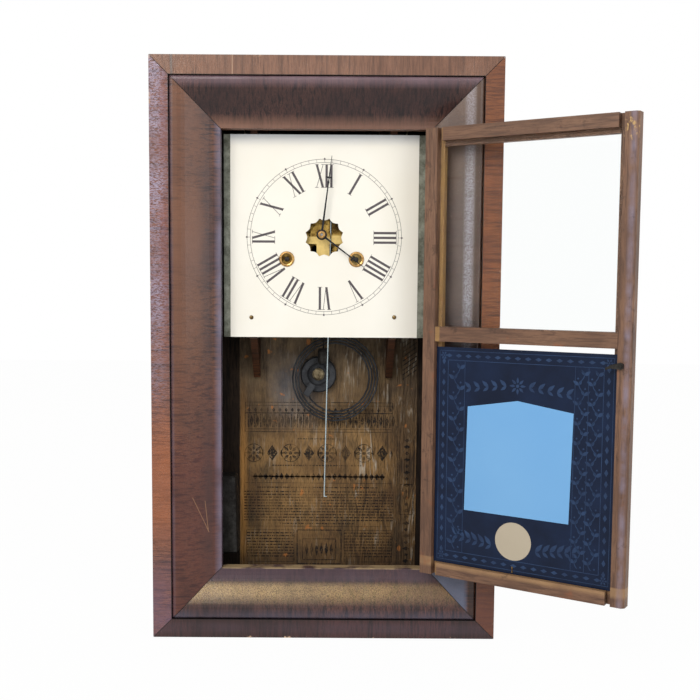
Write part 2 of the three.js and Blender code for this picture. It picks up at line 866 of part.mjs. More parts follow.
function buildDial() {
  const panTop = panBottom + panHeight;
  const panLeft = dialCentreX - panWidth / 2;
  const panRight = dialCentreX + panWidth / 2;
  const windingHole = grommetNeckRadius + jointGap;
  const windingHoles = () => windingPlaces().map(([, x, z]) => circle(windingHole, 16, x, z));
  const centreHole = circle(starTipRadius + starHoleMargin, 24, dialCentreX, dialCentreZ);
  const face = rectangle(dialCentreX - plateWidth / 2, dialCentreX + plateWidth / 2, panBottom, panTop);
  add(
    'dial_plate',
    plate(face, dialFrontDepth, dialFrontDepth + dialThickness, [starOutline(), ...windingHoles()]),
    finishes.dialPaint,
  );
  const sheet = plate(
    rectangle(panLeft, panRight, panBottom, panTop),
    panFront,
    panBack,
    [centreHole, ...windingHoles()],
  );
  const fold = panThickness;
  const flanges = [
    block(panLeft, panLeft + fold, panFront, panBack + panFlange, panBottom, panTop),
    block(panRight - fold, panRight, panFront, panBack + panFlange, panBottom, panTop),
  ];
  add('dial_pan', join(sheet, ...flanges), finishes.zinc);
  for (const [side, x, z] of windingPlaces()) {
    const front = dialFrontDepth - jointGap - grommetFlange;
    const rim = grommetOuterRadius - grommetBoreRadius;
    const profile = [
      [grommetBoreRadius, front + grommetFlange * 0.2],
      [grommetBoreRadius + rim * 0.35, front],
      [grommetOuterRadius - rim * 0.3, front + grommetFlange * 0.15],
      [grommetOuterRadius, front + grommetFlange],
      [grommetNeckRadius, front + grommetFlange],
      [grommetNeckRadius, panBack + grommetTail],
      [grommetBoreRadius, panBack + grommetTail],
      [grommetBoreRadius, front + grommetFlange * 0.2],
    ];
    add(`winding_grommet_${side}`, turned(profile, x, z, 20), finishes.brass);
  }
}

// ---------------------------------------------------------------------------------------------
// Movement: two cut brass plates on four pillars
// ---------------------------------------------------------------------------------------------
const place = (across, above) => [centreX + across, centreZ + above];
const apart = (radius, from, angle) => [
  from[0] + radius * Math.cos(angle * degrees),
  from[1] + radius * Math.sin(angle * degrees),
];
const pitch = (teeth, module) => (teeth * module) / 2;

// Arbor places, each at the meshing distance from the one that drives it
const greatReach = pitch(greatTeeth + secondPinionLeaves, greatModule);
const secondReach = pitch(secondTeeth + smallPinionLeaves, secondModule);
const thirdReach = pitch(thirdTeeth + smallPinionLeaves, thirdModule);
const motionReach = pitch(cannonTeeth + minuteWheelTeeth, motionModule);
const timeWinding = place(windingAcross, -windingBelow);
const strikeWinding = place(-windingAcross, -windingBelow);
const timeSecond = apart(greatReach, timeWinding, 122.5);
const strikeSecond = apart(greatReach, strikeWinding, 57.5);
const timeThird = apart(secondReach, timeSecond, 100);
const strikeThird = apart(secondReach, strikeSecond, 80);
const pallets = place(pendulumAcross, pendulumAbove);
const escapeDrop = Math.sqrt(thirdReach ** 2 - (timeThird[0] - pallets[0]) ** 2);
const escapeArbor = [pallets[0], timeThird[1] + escapeDrop];
const flyArbor = apart(thirdReach, strikeThird, 113);
const centre = place(0, 0);
const minuteStud = apart(motionReach, centre, 90);
const hammerPivot = place(hammerPivotAcross, -hammerPivotBelow);
const transferReach = Math.hypot(timeSecond[0] - centre[0], timeSecond[1] - centre[1]);
const transferModule = transferReach / transferTeeth;

function plateOutline(withEars) {
  const [x, z] = centre;
  const left = x - plateHalfWidth;
  const right = x + plateHalfWidth;
  const bottom = z - plateBelow;
  const top = z + plateAbove;
  if (!withEars) return rectangle(left, right, bottom, top, plateCorner);
  const earLeft = railCentre - railInnerHalf + earLap;
  const earRight = railCentre + railInnerHalf - earLap;
  const ears = [bottom + earInset, top - earInset - earHeight].map((low) => [low, low + earHeight]);
  const outline = [[left, bottom], [right, bottom]];
  for (const [low, high] of ears) {
    outline.push([right, low], [earRight, low], [earRight, high], [right, high]);
  }
  outline.push([right, top], [left, top]);
  for (const [low, high] of [...ears].reverse()) {
    outline.push([left, high], [earLeft, high], [earLeft, low], [left, low]);
  }
  return outline.map(([px, pz]) => new THREE.Vector2(px, pz));
}

// The front plate is open above its centre bar; the back plate keeps a solid middle.
function plateWindows(isFront) {
  const [x, z] = centre;
  const inner = plateHalfWidth - plateBorder;
  const bottom = -plateBelow + footBorder;
  const top = plateAbove - plateBorder;
  const spans = [
    [-inner, upperWindowLeft, centreBarTop, top],
    [upperWindowRight, inner, centreBarTop, top],
    [-lowerWindowOuter, lowerWindowLeft, bottom, centreBarBottom],
    [lowerWindowRight, lowerWindowOuter, bottom, centreBarBottom],
  ];
  if (isFront) spans.push([middleWindowLeft, middleWindowRight, middleWindowBottom, top]);
  return spans.map(([left, right, low, high]) => rectangle(x + left, x + right, z + low, z + high));
}

function pillarPlaces() {
  const across = plateHalfWidth - pillarInset;
  const below = plateBelow - pillarInset;
  const above = plateAbove - pillarInset;
  return [
    place(-across, -below),
    place(across, -below),
    place(-across, above),
    place(across, above),
  ];
}

function pivotHoles(radius) {
  const time = [timeSecond, timeThird, escapeArbor, pallets];
  const strike = [strikeSecond, strikeThird, flyArbor, hammerPivot];
  return [...time, ...strike].map(([x, z]) => circle(radius, 6, x, z));
}

function buildPlates() {
  const front = frontPlateDepth;
  const back = frontPlateDepth + plateThickness;
  const windingHole = windingArborRadius + runningClearance;
  const arborHoles = [
    ...pivotHoles(pivotRadius + pivotClearance),
    ...[timeWinding, strikeWinding].map(([x, z]) => circle(windingHole, 12, x, z)),
  ];
  const tenon = pillarRadius * 0.6;
  const pillarHoles = pillarPlaces().map(([x, z]) => circle(tenon + jointGap, 6, x, z));
  const frontHoles = [...plateWindows(true), ...arborHoles, ...pillarHoles];
  const frontSheet = plate(plateOutline(false), front, back, frontHoles);
  const boss = rod(centreBossRadius, front, back, ...centre, 12);
  const post = rod(rodPostRadius, rodDepth - 3, front + lap, pallets[0], pallets[1] + rodPostAbove, 10);
  const pipeHole = rod(hourPipeRadius + runningClearance, front - overrun, back + overrun, ...centre, 12);
  add('movement_front_plate', cut(join(frontSheet, boss, post), pipeHole), finishes.brass);

  const centreHole = circle(pivotRadius + pivotClearance, 6, ...centre);
  const backHoles = [...plateWindows(false), ...arborHoles, centreHole];
  const backSheet = plate(plateOutline(true), backPlateDepth, backPlateDepth + plateThickness, backHoles);
  const pillars = pillarPlaces().map(([x, z]) => turned([
    [0, front - 1],
    [tenon, front - 1],
    [tenon, back + jointGap],
    [pillarRadius, back + jointGap],
    [pillarRadius, backPlateDepth + lap],
    [0, backPlateDepth + lap],
  ], x, z, 8));
  const stud = rod(minuteStudRadius, hourWheelDepth - pivotTail, backPlateDepth + lap, ...minuteStud, 8);
  add('movement_back_plate', join(backSheet, ...pillars, stud), finishes.brass);
}

// ---------------------------------------------------------------------------------------------
// Wheels and pinions
// ---------------------------------------------------------------------------------------------

// A toothed outline with one tooth centred on the angle given; the teeth come to a point.
function toothed(teeth, module, [x, z], angle, tip = 0.85, root = 1.05) {
  const radius = pitch(teeth, module);
  const step = TAU / teeth;
  const points = [];
  for (let n = 0; n < teeth; n += 1) {
    for (const [reach, share] of [[radius + tip * module, 0], [radius - root * module, 0.5]]) {
      const turn = angle + (n + share) * step;
      points.push(new THREE.Vector2(x + reach * Math.cos(turn), z + reach * Math.sin(turn)));
    }
  }
  return points;
}

// Windows between the spokes of a wheel
function crossings(spokes, inner, outer, [x, z], spokeWidth) {
  const holes = [];
  for (let n = 0; n < spokes; n += 1) {
    const from = (n / spokes) * TAU;
    const to = ((n + 1) / spokes) * TAU;
    const points = [];
    for (let step = 0; step <= 3; step += 1) {
      const margin = spokeWidth / 2 / outer;
      const angle = from + margin + (step / 3) * (to - from - 2 * margin);
      points.push(new THREE.Vector2(x + outer * Math.cos(angle), z + outer * Math.sin(angle)));
    }
    for (let step = 1; step >= 0; step -= 1) {
      const margin = spokeWidth / 2 / inner;
      const angle = from + margin + step * (to - from - 2 * margin);
      points.push(new THREE.Vector2(x + inner * Math.cos(angle), z + inner * Math.sin(angle)));
    }
    holes.push(points);
  }
  return holes;
}

// A lantern pinion: wire leaves between two shrouds, one leaf centred on the angle given.
function lantern(leaves, module, [x, z], angle, front, back) {
  const radius = pitch(leaves, module);
  const leafRadius = 0.6 * module;
  const shroud = radius + leafRadius + 0.35;
  const pieces = [
    rod(shroud, front, front + shroudThickness, x, z, 10),
    rod(shroud, back - shroudThickness, back, x, z, 10),
  ];
  for (let n = 0; n < leaves; n += 1) {
    const turn = angle + (n / leaves) * TAU;
    const leaf = [x + radius * Math.cos(turn), z + radius * Math.sin(turn)];
    pieces.push(rod(leafRadius, front + shroudThickness / 2, back - shroudThickness / 2, ...leaf, 5));
  }
  return pieces;
}

const heading = (from, to) => Math.atan2(to[1] - from[1], to[0] - from[0]);

// The angle that puts a tooth space of a wheel on the line to its neighbour
const spaceToward = (from, to, teeth) => heading(from, to) + Math.PI / teeth;

// An arbor with a pivot at each end, from the depth given to behind the back plate
function arbor(at, front = frontPlateDepth - pivotTail, sides = 6) {
  const inFront = frontPlateDepth + plateThickness + arborShoulder;
  const inBack = backPlateDepth - arborShoulder;
  const back = backPlateDepth + plateThickness + pivotTail;
  return turned([
    [0, front],
    [pivotRadius, front],
    [pivotRadius, inFront],
    [arborRadius, inFront],
    [arborRadius, inBack],
    [pivotRadius, inBack],
    [pivotRadius, back],
    [0, back],
  ], ...at, sides);
}

function buildGreatWheel(name, at, next, withCount) {
  const body = plate(
    toothed(greatTeeth, greatModule, at, spaceToward(at, next, greatTeeth)),
    greatDepth,
    greatDepth + greatThickness,
    [circle(windingArborRadius + runningClearance, 12, ...at), ...crossings(5, 16, 25.5, at, 4)],
  );
  add(name, body, finishes.brass);
  if (withCount) buildCountWheel(at);
}

// The locking plate has a slot after each hour's blows, one to twelve, seventy-eight in all.
function buildCountWheel(at) {
  const blows = 78;
  const points = [];
  const mark = (share, reach) => {
    const angle = share * TAU;
    points.push(new THREE.Vector2(at[0] + reach * Math.cos(angle), at[1] + reach * Math.sin(angle)));
  };
  let struck = 0;
  for (let hour = 1; hour <= 12; hour += 1) {
    const start = struck / blows;
    struck += hour;
    const end = struck / blows;
    const half = 0.3 / blows;
    const steps = Math.max(1, Math.ceil(hour / 2));
    for (let step = 0; step <= steps; step += 1) {
      mark(start + half + (step / steps) * (end - start - 2 * half), countWheelRadius);
    }
    for (const share of [end - half, end + half]) mark(share, countWheelRadius - countSlotDepth);
  }
  const back = frontPlateDepth - countWheelGap;
  const bore = circle(windingArborRadius + runningClearance, 12, ...at);
  add('count_wheel', plate(points, back - countWheelThickness, back, [bore]), finishes.brass);
}

function buildDrum(name, at) {
  const round = frontPlateDepth - drumNose;
  const hub = greatDepth + greatThickness + arborShoulder;
  const tail = backPlateDepth + plateThickness + pivotTail;
  const profile = [
    [0, round],
    [windingArborRadius, round],
    [windingArborRadius, hub],
    [drumHubRadius, hub],
    [drumHubRadius, drumFront - drumFlange],
    [drumFlangeRadius, drumFront - drumFlange],
    [drumFlangeRadius, drumFront],
    [drumRadius, drumFront],
    [drumRadius, drumBack - drumFlange],
    [drumFlangeRadius, drumBack - drumFlange],
    [drumFlangeRadius, drumBack],
    [windingArborRadius, drumBack],
    [windingArborRadius, tail],
    [0, tail],
  ];
  const half = windingSquare / 2;
  const [x, z] = at;
  const square = block(x - half, x + half, panFront + squareSetBack, round + lap, z - half, z + half);
  add(name, join(turned(profile, ...at, 12), square), finishes.steel);
}

function buildSecond(name, at, driver, next, isStrike) {
  const pinion = lantern(
    secondPinionLeaves,
    greatModule,
    at,
    heading(at, driver),
    greatDepth - pinionMargin,
    greatDepth + greatThickness + pinionMargin,
  );
  const wheel = plate(
    toothed(secondTeeth, secondModule, at, spaceToward(at, next, secondTeeth)),
    secondDepth,
    secondDepth + wheelThickness,
    crossings(4, 5, 12.5, at, 3),
  );
  const pieces = [arbor(at), ...pinion, wheel];
  if (!isStrike) pieces.push(transferWheel(at, spaceToward(at, centre, transferTeeth)));
  if (isStrike) {
    for (let n = 0; n < strikePins; n += 1) {
      const [x, z] = apart(strikePinReach, at, (n / strikePins) * 360);
      pieces.push(rod(strikePinRadius, secondDepth - strikePinLength, secondDepth + lap, x, z, 4));
    }
  }
  add(name, join(...pieces), finishes.brass);
}

// The six-leaved lantern pinion that a wheel at the depth given drives
function smallPinion(at, driver, module, depth) {
  const back = depth + wheelThickness + pinionMargin;
  return lantern(smallPinionLeaves, module, at, heading(at, driver), depth - pinionMargin, back);
}

function buildThird(name, at, driver, next) {
  const pinion = smallPinion(at, driver, secondModule, secondDepth);
  const wheel = plate(
    toothed(thirdTeeth, thirdModule, at, spaceToward(at, next, thirdTeeth)),
    thirdDepth,
    thirdDepth + wheelThickness,
    crossings(4, 4, 10, at, 2.6),
  );
  add(name, join(arbor(at), ...pinion, wheel), finishes.brass);
}

// The wheel on the time side's second arbor that turns the centre arbor
function transferWheel(at, turn) {
  const teeth = toothed(transferTeeth, transferModule, at, turn);
  return plate(teeth, transferDepth, transferDepth + wheelThickness);
}

function buildEscapement() {
  const points = [];
  for (let n = 0; n < escapeTeeth; n += 1) {
    const angle = (n / escapeTeeth) * TAU;
    const heel = angle + 0.55 * (TAU / escapeTeeth);
    const [x, z] = escapeArbor;
    points.push(new THREE.Vector2(x + escapeRadius * Math.cos(angle), z + escapeRadius * Math.sin(angle)));
    const floor = escapeRadius - escapeToothDepth;
    points.push(new THREE.Vector2(x + floor * Math.cos(heel), z + floor * Math.sin(heel)));
  }
  const windows = crossings(4, 4, 11, escapeArbor, 2.4);
  const wheel = plate(points, escapeDepth, escapeDepth + escapeThickness, windows);
  const pinion = smallPinion(escapeArbor, timeThird, thirdModule, thirdDepth);
  add('escape_wheel', join(arbor(escapeArbor), ...pinion, wheel), finishes.brass);
}

// The verge: its pallets stand just clear of the teeth on both sides at every swing.
function buildVerge() {
  const clear = escapeRadius + palletClearance;
  const strip = [];
  const steps = 10;
  const curve = (radius, reversed) => {
    for (let step = 0; step <= steps; step += 1) {
      const share = reversed ? 1 - step / steps : step / steps;
      const angle = (90 - palletSpan / 2 + palletSpan * share) * degrees;
      const x = escapeArbor[0] + radius * Math.cos(angle);
      strip.push(new THREE.Vector2(x, escapeArbor[1] + radius * Math.sin(angle)));
    }
  };
  curve(clear, false);
  curve(clear + palletThickness, true);
  const front = escapeDepth - palletMargin;
  const back = escapeDepth + escapeThickness + palletMargin;
  const band = plate(strip, front, back);
  const [x, z] = pallets;
  const rise = block(x - palletArm, x + palletArm, front, back, escapeArbor[1] + clear + lap, z);
  const crutchEnd = [x + crutchOffset(), z - crutchLength];
  const loopRadius = rodRadius + jointGap + crutchWire;
  const crutchDepth = rodDepth + loopRadius;
  const crutch = wire([x, z, crutchDepth], [...crutchEnd, crutchDepth], crutchWire);
  const loop = new THREE.TorusGeometry(loopRadius, crutchWire, 6, 12);
  loop.translate(crutchEnd[0], atDepth(rodDepth), crutchEnd[1]);
  const shaft = arbor(pallets, rodDepth - arborShoulder, 8);
  add('verge', join(shaft, band, rise, crutch, loop), finishes.steel);
}

// Where the leaning rod stands, by its drop below the pallets
function rodXAt(z) {
  const share = (pallets[1] - z) / rodLength;
  return pallets[0] + rodTopAside + (rodFootAside - rodTopAside) * share;
}

function crutchOffset() {
  return rodXAt(pallets[1] - crutchLength) - pallets[0];
}

function buildPendulum() {
  const [x, z] = pallets;
  const bend = z - springLength;
  const springBack = rodDepth - springAhead;
  const spring = block(
    x - springHalfWidth,
    x + springHalfWidth,
    springBack - springThickness,
    springBack,
    bend,
    z + springAbove,
  );
  const clipFoot = bend - springClipLength;
  const clip = wire(
    [x, bend + overrun, springBack - springThickness / 2],
    [rodXAt(clipFoot), clipFoot, rodDepth],
    springClipRadius,
  );
  const bottom = z - rodLength;
  const foot = rodXAt(bottom);
  const stem = wire([rodXAt(clipFoot + lap), clipFoot + lap, rodDepth], [foot, bottom, rodDepth], rodRadius);
  const hookFoot = bottom - bobHookLength;
  const hook = join(
    wire([foot, bottom + overrun, rodDepth], [foot, hookFoot, rodDepth], rodRadius),
    wire([foot, hookFoot + lap, rodDepth], [foot + bobHookReach, hookFoot + lap, rodDepth], rodRadius),
  );
  add('pendulum_rod', join(spring, clip, stem, hook), finishes.steel);
}

function buildFly() {
  const pinion = smallPinion(flyArbor, strikeThird, thirdModule, thirdDepth);
  const [x, z] = flyArbor;
  const thin = fanThickness / 2;
  const fan = block(x - fanHalfWidth, x + fanHalfWidth, fanFront, fanBack, z - thin, z + thin);
  add('strike_fly', join(arbor(flyArbor), ...pinion, fan), finishes.brass);
}

// ---------------------------------------------------------------------------------------------
// Motion work and hands
// ---------------------------------------------------------------------------------------------
function buildMotionWork() {
  const centreWheel = transferWheel(centre, heading(centre, timeSecond));
  const cannon = plate(
    toothed(cannonTeeth, motionModule, centre, heading(centre, minuteStud)),
    cannonDepth,
    cannonDepth + motionThickness,
  );
  const shaft = turned([
    [0, minuteHandDepth - minuteArborTip],
    [minuteArborRadius * 0.75, minuteHandDepth - minuteArborTip],
    [minuteArborRadius, minuteHandDepth + handThickness + arborShoulder],
    [minuteArborRadius, backPlateDepth - arborShoulder],
    [pivotRadius, backPlateDepth - arborShoulder],
    [pivotRadius, backPlateDepth + pivotTail],
    [0, backPlateDepth + pivotTail],
  ], ...centre, 12);
  add('minute_arbor', join(shaft, centreWheel, cannon), finishes.steel);

  const studBore = minuteStudRadius + runningClearance;
  const minuteWheel = plate(
    toothed(minuteWheelTeeth, motionModule, minuteStud, spaceToward(minuteStud, centre, minuteWheelTeeth)),
    cannonDepth,
    cannonDepth + motionThickness,
    [circle(studBore, 8, ...minuteStud)],
  );
  const hourModule = (2 * motionReach) / (minutePinionTeeth + hourWheelTeeth);
  const minutePinion = plate(
    toothed(minutePinionTeeth, hourModule, minuteStud, heading(minuteStud, centre)),
    hourWheelDepth,
    cannonDepth + lap,
    [circle(studBore, 8, ...minuteStud)],
  );
  add('minute_wheel', join(minuteWheel, minutePinion), finishes.brass);

  const hourBore = minuteArborRadius + runningClearance;
  const hourWheel = plate(
    toothed(hourWheelTeeth, hourModule, centre, spaceToward(centre, minuteStud, hourWheelTeeth)),
    hourWheelDepth,
    hourWheelDepth + hourWheelThickness,
    [circle(hourBore, 12, ...centre)],
  );
  const pipeFront = hourHandDepth - arborShoulder;
  const pipe = washer(hourBore, hourPipeRadius, pipeFront, hourWheelDepth + lap, ...centre, 16);
  add('hour_pipe', join(hourWheel, pipe), finishes.brass);
}

// Slender hand with a bead, a small cross and a fine point, drawn upright from the hub.
function handOutline(length, hubRadius, halfWidth) {
  const bead = length * 0.665;
  const cross = length * 0.725;
  const edge = [
    [halfWidth, hubRadius * 0.9],
    [halfWidth * 0.55, bead - 3],
    [halfWidth * 0.95, bead],
    [halfWidth * 0.5, bead + 2],
    [halfWidth * 0.5, cross - 1],
    [3.3, cross - 0.9],
    [3.3, cross + 0.9],
    [halfWidth * 0.55, cross + 0.9],
    [0.3, length],
  ];
  const points = [];
  const gap = Math.asin(halfWidth / hubRadius);
  for (let step = 0; step <= 12; step += 1) {
    const angle = Math.PI / 2 + gap + (step / 12) * (TAU - 2 * gap);
    points.push([hubRadius * Math.cos(angle), hubRadius * Math.sin(angle)]);
  }
  points.push(...edge);
  points.push(...[...edge].reverse().map(([across, up]) => [-across, up]));
  return points;
}

function buildHand(name, length, hubRadius, halfWidth, seat, depth, clockAngle) {
  const turn = -clockAngle * degrees;
  const outline = handOutline(length, hubRadius, halfWidth).map(([across, up]) => new THREE.Vector2(
    centre[0] + across * Math.cos(turn) - up * Math.sin(turn),
    centre[1] + across * Math.sin(turn) + up * Math.cos(turn),
  ));
  const bore = circle(seat + handSeatGap, 12, ...centre);
  add(name, plate(outline, depth, depth + handThickness, [bore]), finishes.blackSteel);
}

function buildHands() {
  buildHand('hour_hand', hourHandLength, 6.2, 1.15, hourPipeRadius, hourHandDepth, hourHandAngle);
  buildHand('minute_hand', minuteHandLength, 5.2, 1.25, minuteArborRadius, minuteHandDepth, minuteHandAngle);
}

// ---------------------------------------------------------------------------------------------
// Strike work: gong and hammer
// ---------------------------------------------------------------------------------------------
function buildGong() {
  const back = labelFront - jointGap;
  const front = back - gongBaseThickness;
  const floor = front + gongRecessDepth;
  const rounding = gongBaseRounding;
  const base = turned([
    [gongBaseBore, back],
    [gongBaseRadius, back],
    [gongBaseRadius, front + rounding],
    [gongBaseRadius - rounding, front],
    [gongRecessRadius + overrun, front],
    [gongRecessRadius, front + overrun],
    [gongRecessRadius - lap, floor],
    [gongBaseBore, floor],
    [gongBaseBore, back],
  ], gongBaseX, gongBaseZ, 24);
  const rivets = [-gongRivetAcross, gongRivetAcross].map((across) => (
    rod(gongRivetRadius, front - gongRivetHeight, front + lap, gongBaseX + across, gongBaseZ, 8)
  ));
  const start = gongPoint(0).slice(0, 2);
  const out = heading([gongBaseX, gongBaseZ], start);
  const reach = Math.hypot(start[0] - gongBaseX, start[1] - gongBaseZ) + gongBlockBeyond;
  const half = gongBlockWidth / 2;
  const lug = block(gongRecessRadius, reach, gongWireDepth - half, back, -half, half)
    .rotateY(-out)
    .translate(gongBaseX, 0, gongBaseZ);
  const socket = gongTube(-0.15, 2.85, gongWireRadius + jointGap);
  const recessFront = front - gongBlockWidth;
  const recess = rod(gongRecessRadius + lap, recessFront, back + overrun, gongBaseX, gongBaseZ, 20);
  add('gong_base', cut(join(base, ...rivets, cut(lug, recess)), socket), finishes.iron);

  const seat = floor - jointGap;
  const screw = turned([
    [0, seat - gongScrewHeight],
    [gongScrewRadius * 0.7, seat - gongScrewHeight],
    [gongScrewRadius, seat - gongScrewHeight * 0.6],
    [gongScrewRadius, seat],
    [gongBoltRadius, seat],
    [gongBoltRadius, back - jointGap],
    [0, back - jointGap],
  ], gongBaseX, gongBaseZ, 16);
  add('gong_screw', screw, finishes.steel);
  add('gong_coil', gongTube(0, gongCoilTurns * gongLoopSteps, gongWireRadius), finishes.blackSteel);
}

// One unbroken wire wound in a flat spiral, from one step to another.
function gongTube(fromStep, toStep, radius) {
  const positions = [];
  const index = [];
  const rings = toStep - fromStep + 1;
  for (let ring = 0; ring < rings; ring += 1) {
    const [x, z, angle] = gongPoint(fromStep + ring);
    for (let side = 0; side < gongWireSides; side += 1) {
      const around = (side / gongWireSides) * TAU;
      const outward = radius * Math.cos(around);
      const px = x + outward * Math.cos(angle);
      const pz = z + outward * Math.sin(angle);
      positions.push(px, atDepth(gongWireDepth) + radius * Math.sin(around), pz);
    }
  }
  for (let ring = 0; ring + 1 < rings; ring += 1) {
    for (let side = 0; side < gongWireSides; side += 1) {
      const a = ring * gongWireSides + side;
      const b = ring * gongWireSides + ((side + 1) % gongWireSides);
      index.push(a, b, a + gongWireSides, b, b + gongWireSides, a + gongWireSides);
    }
  }
  const last = (rings - 1) * gongWireSides;
  for (let side = 1; side + 1 < gongWireSides; side += 1) {
    index.push(0, side + 1, side, last, last + side, last + side + 1);
  }
  const geometry = new THREE.BufferGeometry();
  geometry.setAttribute('position', new THREE.Float32BufferAttribute(positions, 3));
  geometry.setIndex(index);
  return geometry;
}

function gongPoint(step) {
  const turn = step / gongLoopSteps;
  const angle = gongBlockAngle * degrees + turn * TAU;
  const lead = Math.min(1, Math.max(0, 1 - step / gongLeadSteps));
  const radius = gongCoilInnerRadius + gongCoilPitch * turn - gongLeadIn * lead ** 2;
  return [gongCoilX + radius * Math.cos(angle), gongCoilZ + radius * Math.sin(angle), angle];
}

function printCoilGap() {
  const steps = gongCoilTurns * gongLoopSteps;
  let least = Infinity;
  for (let a = 0; a <= steps; a += 1) {
    for (let b = a + gongLoopSteps / 2; b <= steps; b += 1) {
      const [ax, az] = gongPoint(a);
      const [bx, bz] = gongPoint(b);
      least = Math.min(least, Math.hypot(ax - bx, az - bz) - 2 * gongWireRadius);
    }
  }
  console.log(`gong coil: least gap to itself ${least.toFixed(2)} mm`);
}

function buildHammer() {
  const [x, z] = hammerPivot;
  const [pinX, pinZ] = strikeSecond;
  const tail = [pinX + hammerTailAcross, pinZ - hammerTailDrop, hammerWireDepth - lap];
  const bend = z - hammerBendBelow;
  const half = hammerHeadHeight / 2;
  const head = new THREE.LatheGeometry([
    [0, -half],
    [hammerHeadRadius * 0.8, -half],
    [hammerHeadRadius, -half + 3],
    [hammerHeadRadius, half - 4],
    [hammerHeadRadius * 0.75, half],
    [0, half],
  ].map(([radius, height]) => new THREE.Vector2(radius, height)), 12);
  head.rotateX(Math.PI / 2).translate(hammerHeadX, atDepth(hammerHeadDepth), hammerHeadZ);
  const headEntry = [hammerHeadX, hammerHeadZ + half - 2 * overrun, hammerHeadDepth];
  add('hammer', join(
    arbor(hammerPivot),
    wire([x, z, hammerWireDepth], tail, hammerTailRadius),
    wire([x, z, hammerWireDepth], [x, bend, hammerWireDepth], hammerWireRadius),
    wire([x, bend + lap, hammerWireDepth], headEntry, hammerWireRadius),
    head,
  ), finishes.iron);
}

// ---------------------------------------------------------------------------------------------
// Weights, pulleys and cords
// ---------------------------------------------------------------------------------------------
// Places where the straight run of cord leaves the drum and meets the pulley, on the strike side
// The run crosses between the two rounds.
function cordTangent(side) {
  const drum = side < 0 ? strikeWinding : timeWinding;
  const pulley = [side * pulleyX, pulleyHeight];
  const drumReach = drumRadius + cordRadius + jointGap;
  const pulleyReach = pulleyGrooveRadius + cordRadius + jointGap;
  const distance = Math.hypot(pulley[0] - drum[0], pulley[1] - drum[1]);
  const toward = heading(drum, pulley);
  const swing = Math.acos((drumReach + pulleyReach) / distance);
  const angle = toward - side * swing;
  return {
    drum: [drum[0] + drumReach * Math.cos(angle), drum[1] + drumReach * Math.sin(angle)],
    pulley: [pulley[0] - pulleyReach * Math.cos(angle), pulley[1] - pulleyReach * Math.sin(angle)],
    angle,
    centre: pulley,
    reach: pulleyReach,
  };
}

// Height at which the left cord passes a rail, by its distance from the rails' middle
function cordHeightAt(distance) {
  const { drum, pulley } = cordTangent(-1);
  const x = railCentre - distance;
  return drum[1] + ((pulley[1] - drum[1]) * (x - drum[0])) / (pulley[0] - drum[0]);
}

function buildCord(name, side, weightTop) {
  const { drum, pulley, angle, centre: hub, reach } = cordTangent(side);
  const from = angle + Math.PI;
  const to = side < 0 ? Math.PI : 0;
  let sweep = to - from;
  if (side < 0) while (sweep < 0) sweep += TAU;
  if (side > 0) while (sweep > 0) sweep -= TAU;
  const arcSteps = 10;
  const outline = [drum];
  const runs = 6;
  for (let step = 1; step < runs; step += 1) {
    outline.push([
      drum[0] + ((pulley[0] - drum[0]) * step) / runs,
      drum[1] + ((pulley[1] - drum[1]) * step) / runs,
    ]);
  }
  for (let step = 0; step <= arcSteps; step += 1) {
    const turn = from + (sweep * step) / arcSteps;
    outline.push([hub[0] + reach * Math.cos(turn), hub[1] + reach * Math.sin(turn)]);
  }
  const foot = weightTop + 2 * weightEyeRadius + weightEyeWire + jointGap;
  const edge = hub[0] + side * reach;
  const drops = 8;
  for (let step = 1; step <= drops; step += 1) {
    outline.push([edge, hub[1] + ((foot - hub[1]) * step) / drops]);
  }
  add(name, cordTube(outline), finishes.cord);
}

// A cord of even section through points in the front view at the cord's depth
function cordTube(outline) {
  const positions = [];
  const index = [];
  const last = outline.length - 1;
  outline.forEach(([x, z], step) => {
    const before = outline[Math.max(0, step - 1)];
    const after = outline[Math.min(last, step + 1)];
    const ahead = heading(before, after);
    for (let side = 0; side < cordSides; side += 1) {
      const around = (side / cordSides) * TAU;
      const across = cordRadius * Math.cos(around);
      const px = x - across * Math.sin(ahead);
      const pz = z + across * Math.cos(ahead);
      positions.push(px, atDepth(cordDepth) + cordRadius * Math.sin(around), pz);
    }
  });
  for (let step = 0; step < last; step += 1) {
    for (let side = 0; side < cordSides; side += 1) {
      const a = step * cordSides + side;
      const b = step * cordSides + ((side + 1) % cordSides);
      index.push(a, b, a + cordSides, b, b + cordSides, a + cordSides);
    }
  }
  const end = last * cordSides;
  for (let side = 1; side + 1 < cordSides; side += 1) {
    index.push(0, side + 1, side, end, end + side, end + side + 1);
  }
  const geometry = new THREE.BufferGeometry();
  geometry.setAttribute('position', new THREE.Float32BufferAttribute(positions, 3));
  geometry.setIndex(index);
  return geometry;
}

function buildWeight(name, side, bottom) {
  const across = weightBottomWidth / 2;
  const through = weightThickness / 2;
  const outline = rectangle(-across, across, -through, through, weightEdgeRounding);
  const body = new THREE.ExtrudeGeometry(new THREE.Shape(outline), {
    depth: weightHeight - 2 * weightBevel,
    bevelEnabled: true,
    bevelThickness: weightBevel,
    bevelSize: weightBevel,
    bevelOffset: -weightBevel,
    bevelSegments: 1,
  });
  body.translate(0, 0, weightBevel);
  const corner = body.attributes.position;
  const narrow = 1 - weightTopWidth / weightBottomWidth;
  for (let i = 0; i < corner.count; i += 1) {
    const scale = 1 - narrow * (corner.getZ(i) / weightHeight);
    corner.setXYZ(i, corner.getX(i) * scale, corner.getY(i) * scale, corner.getZ(i));
  }
  const eye = new THREE.TorusGeometry(weightEyeRadius, weightEyeWire, 6, 12);
  eye.rotateX(Math.PI / 2).translate(0, 0, weightHeight + weightEyeRadius - overrun);
  const whole = join(body, eye);
  whole.translate(side * cordDropX(), atDepth(cordDepth), bottom);
  add(name, whole, finishes.iron);
}

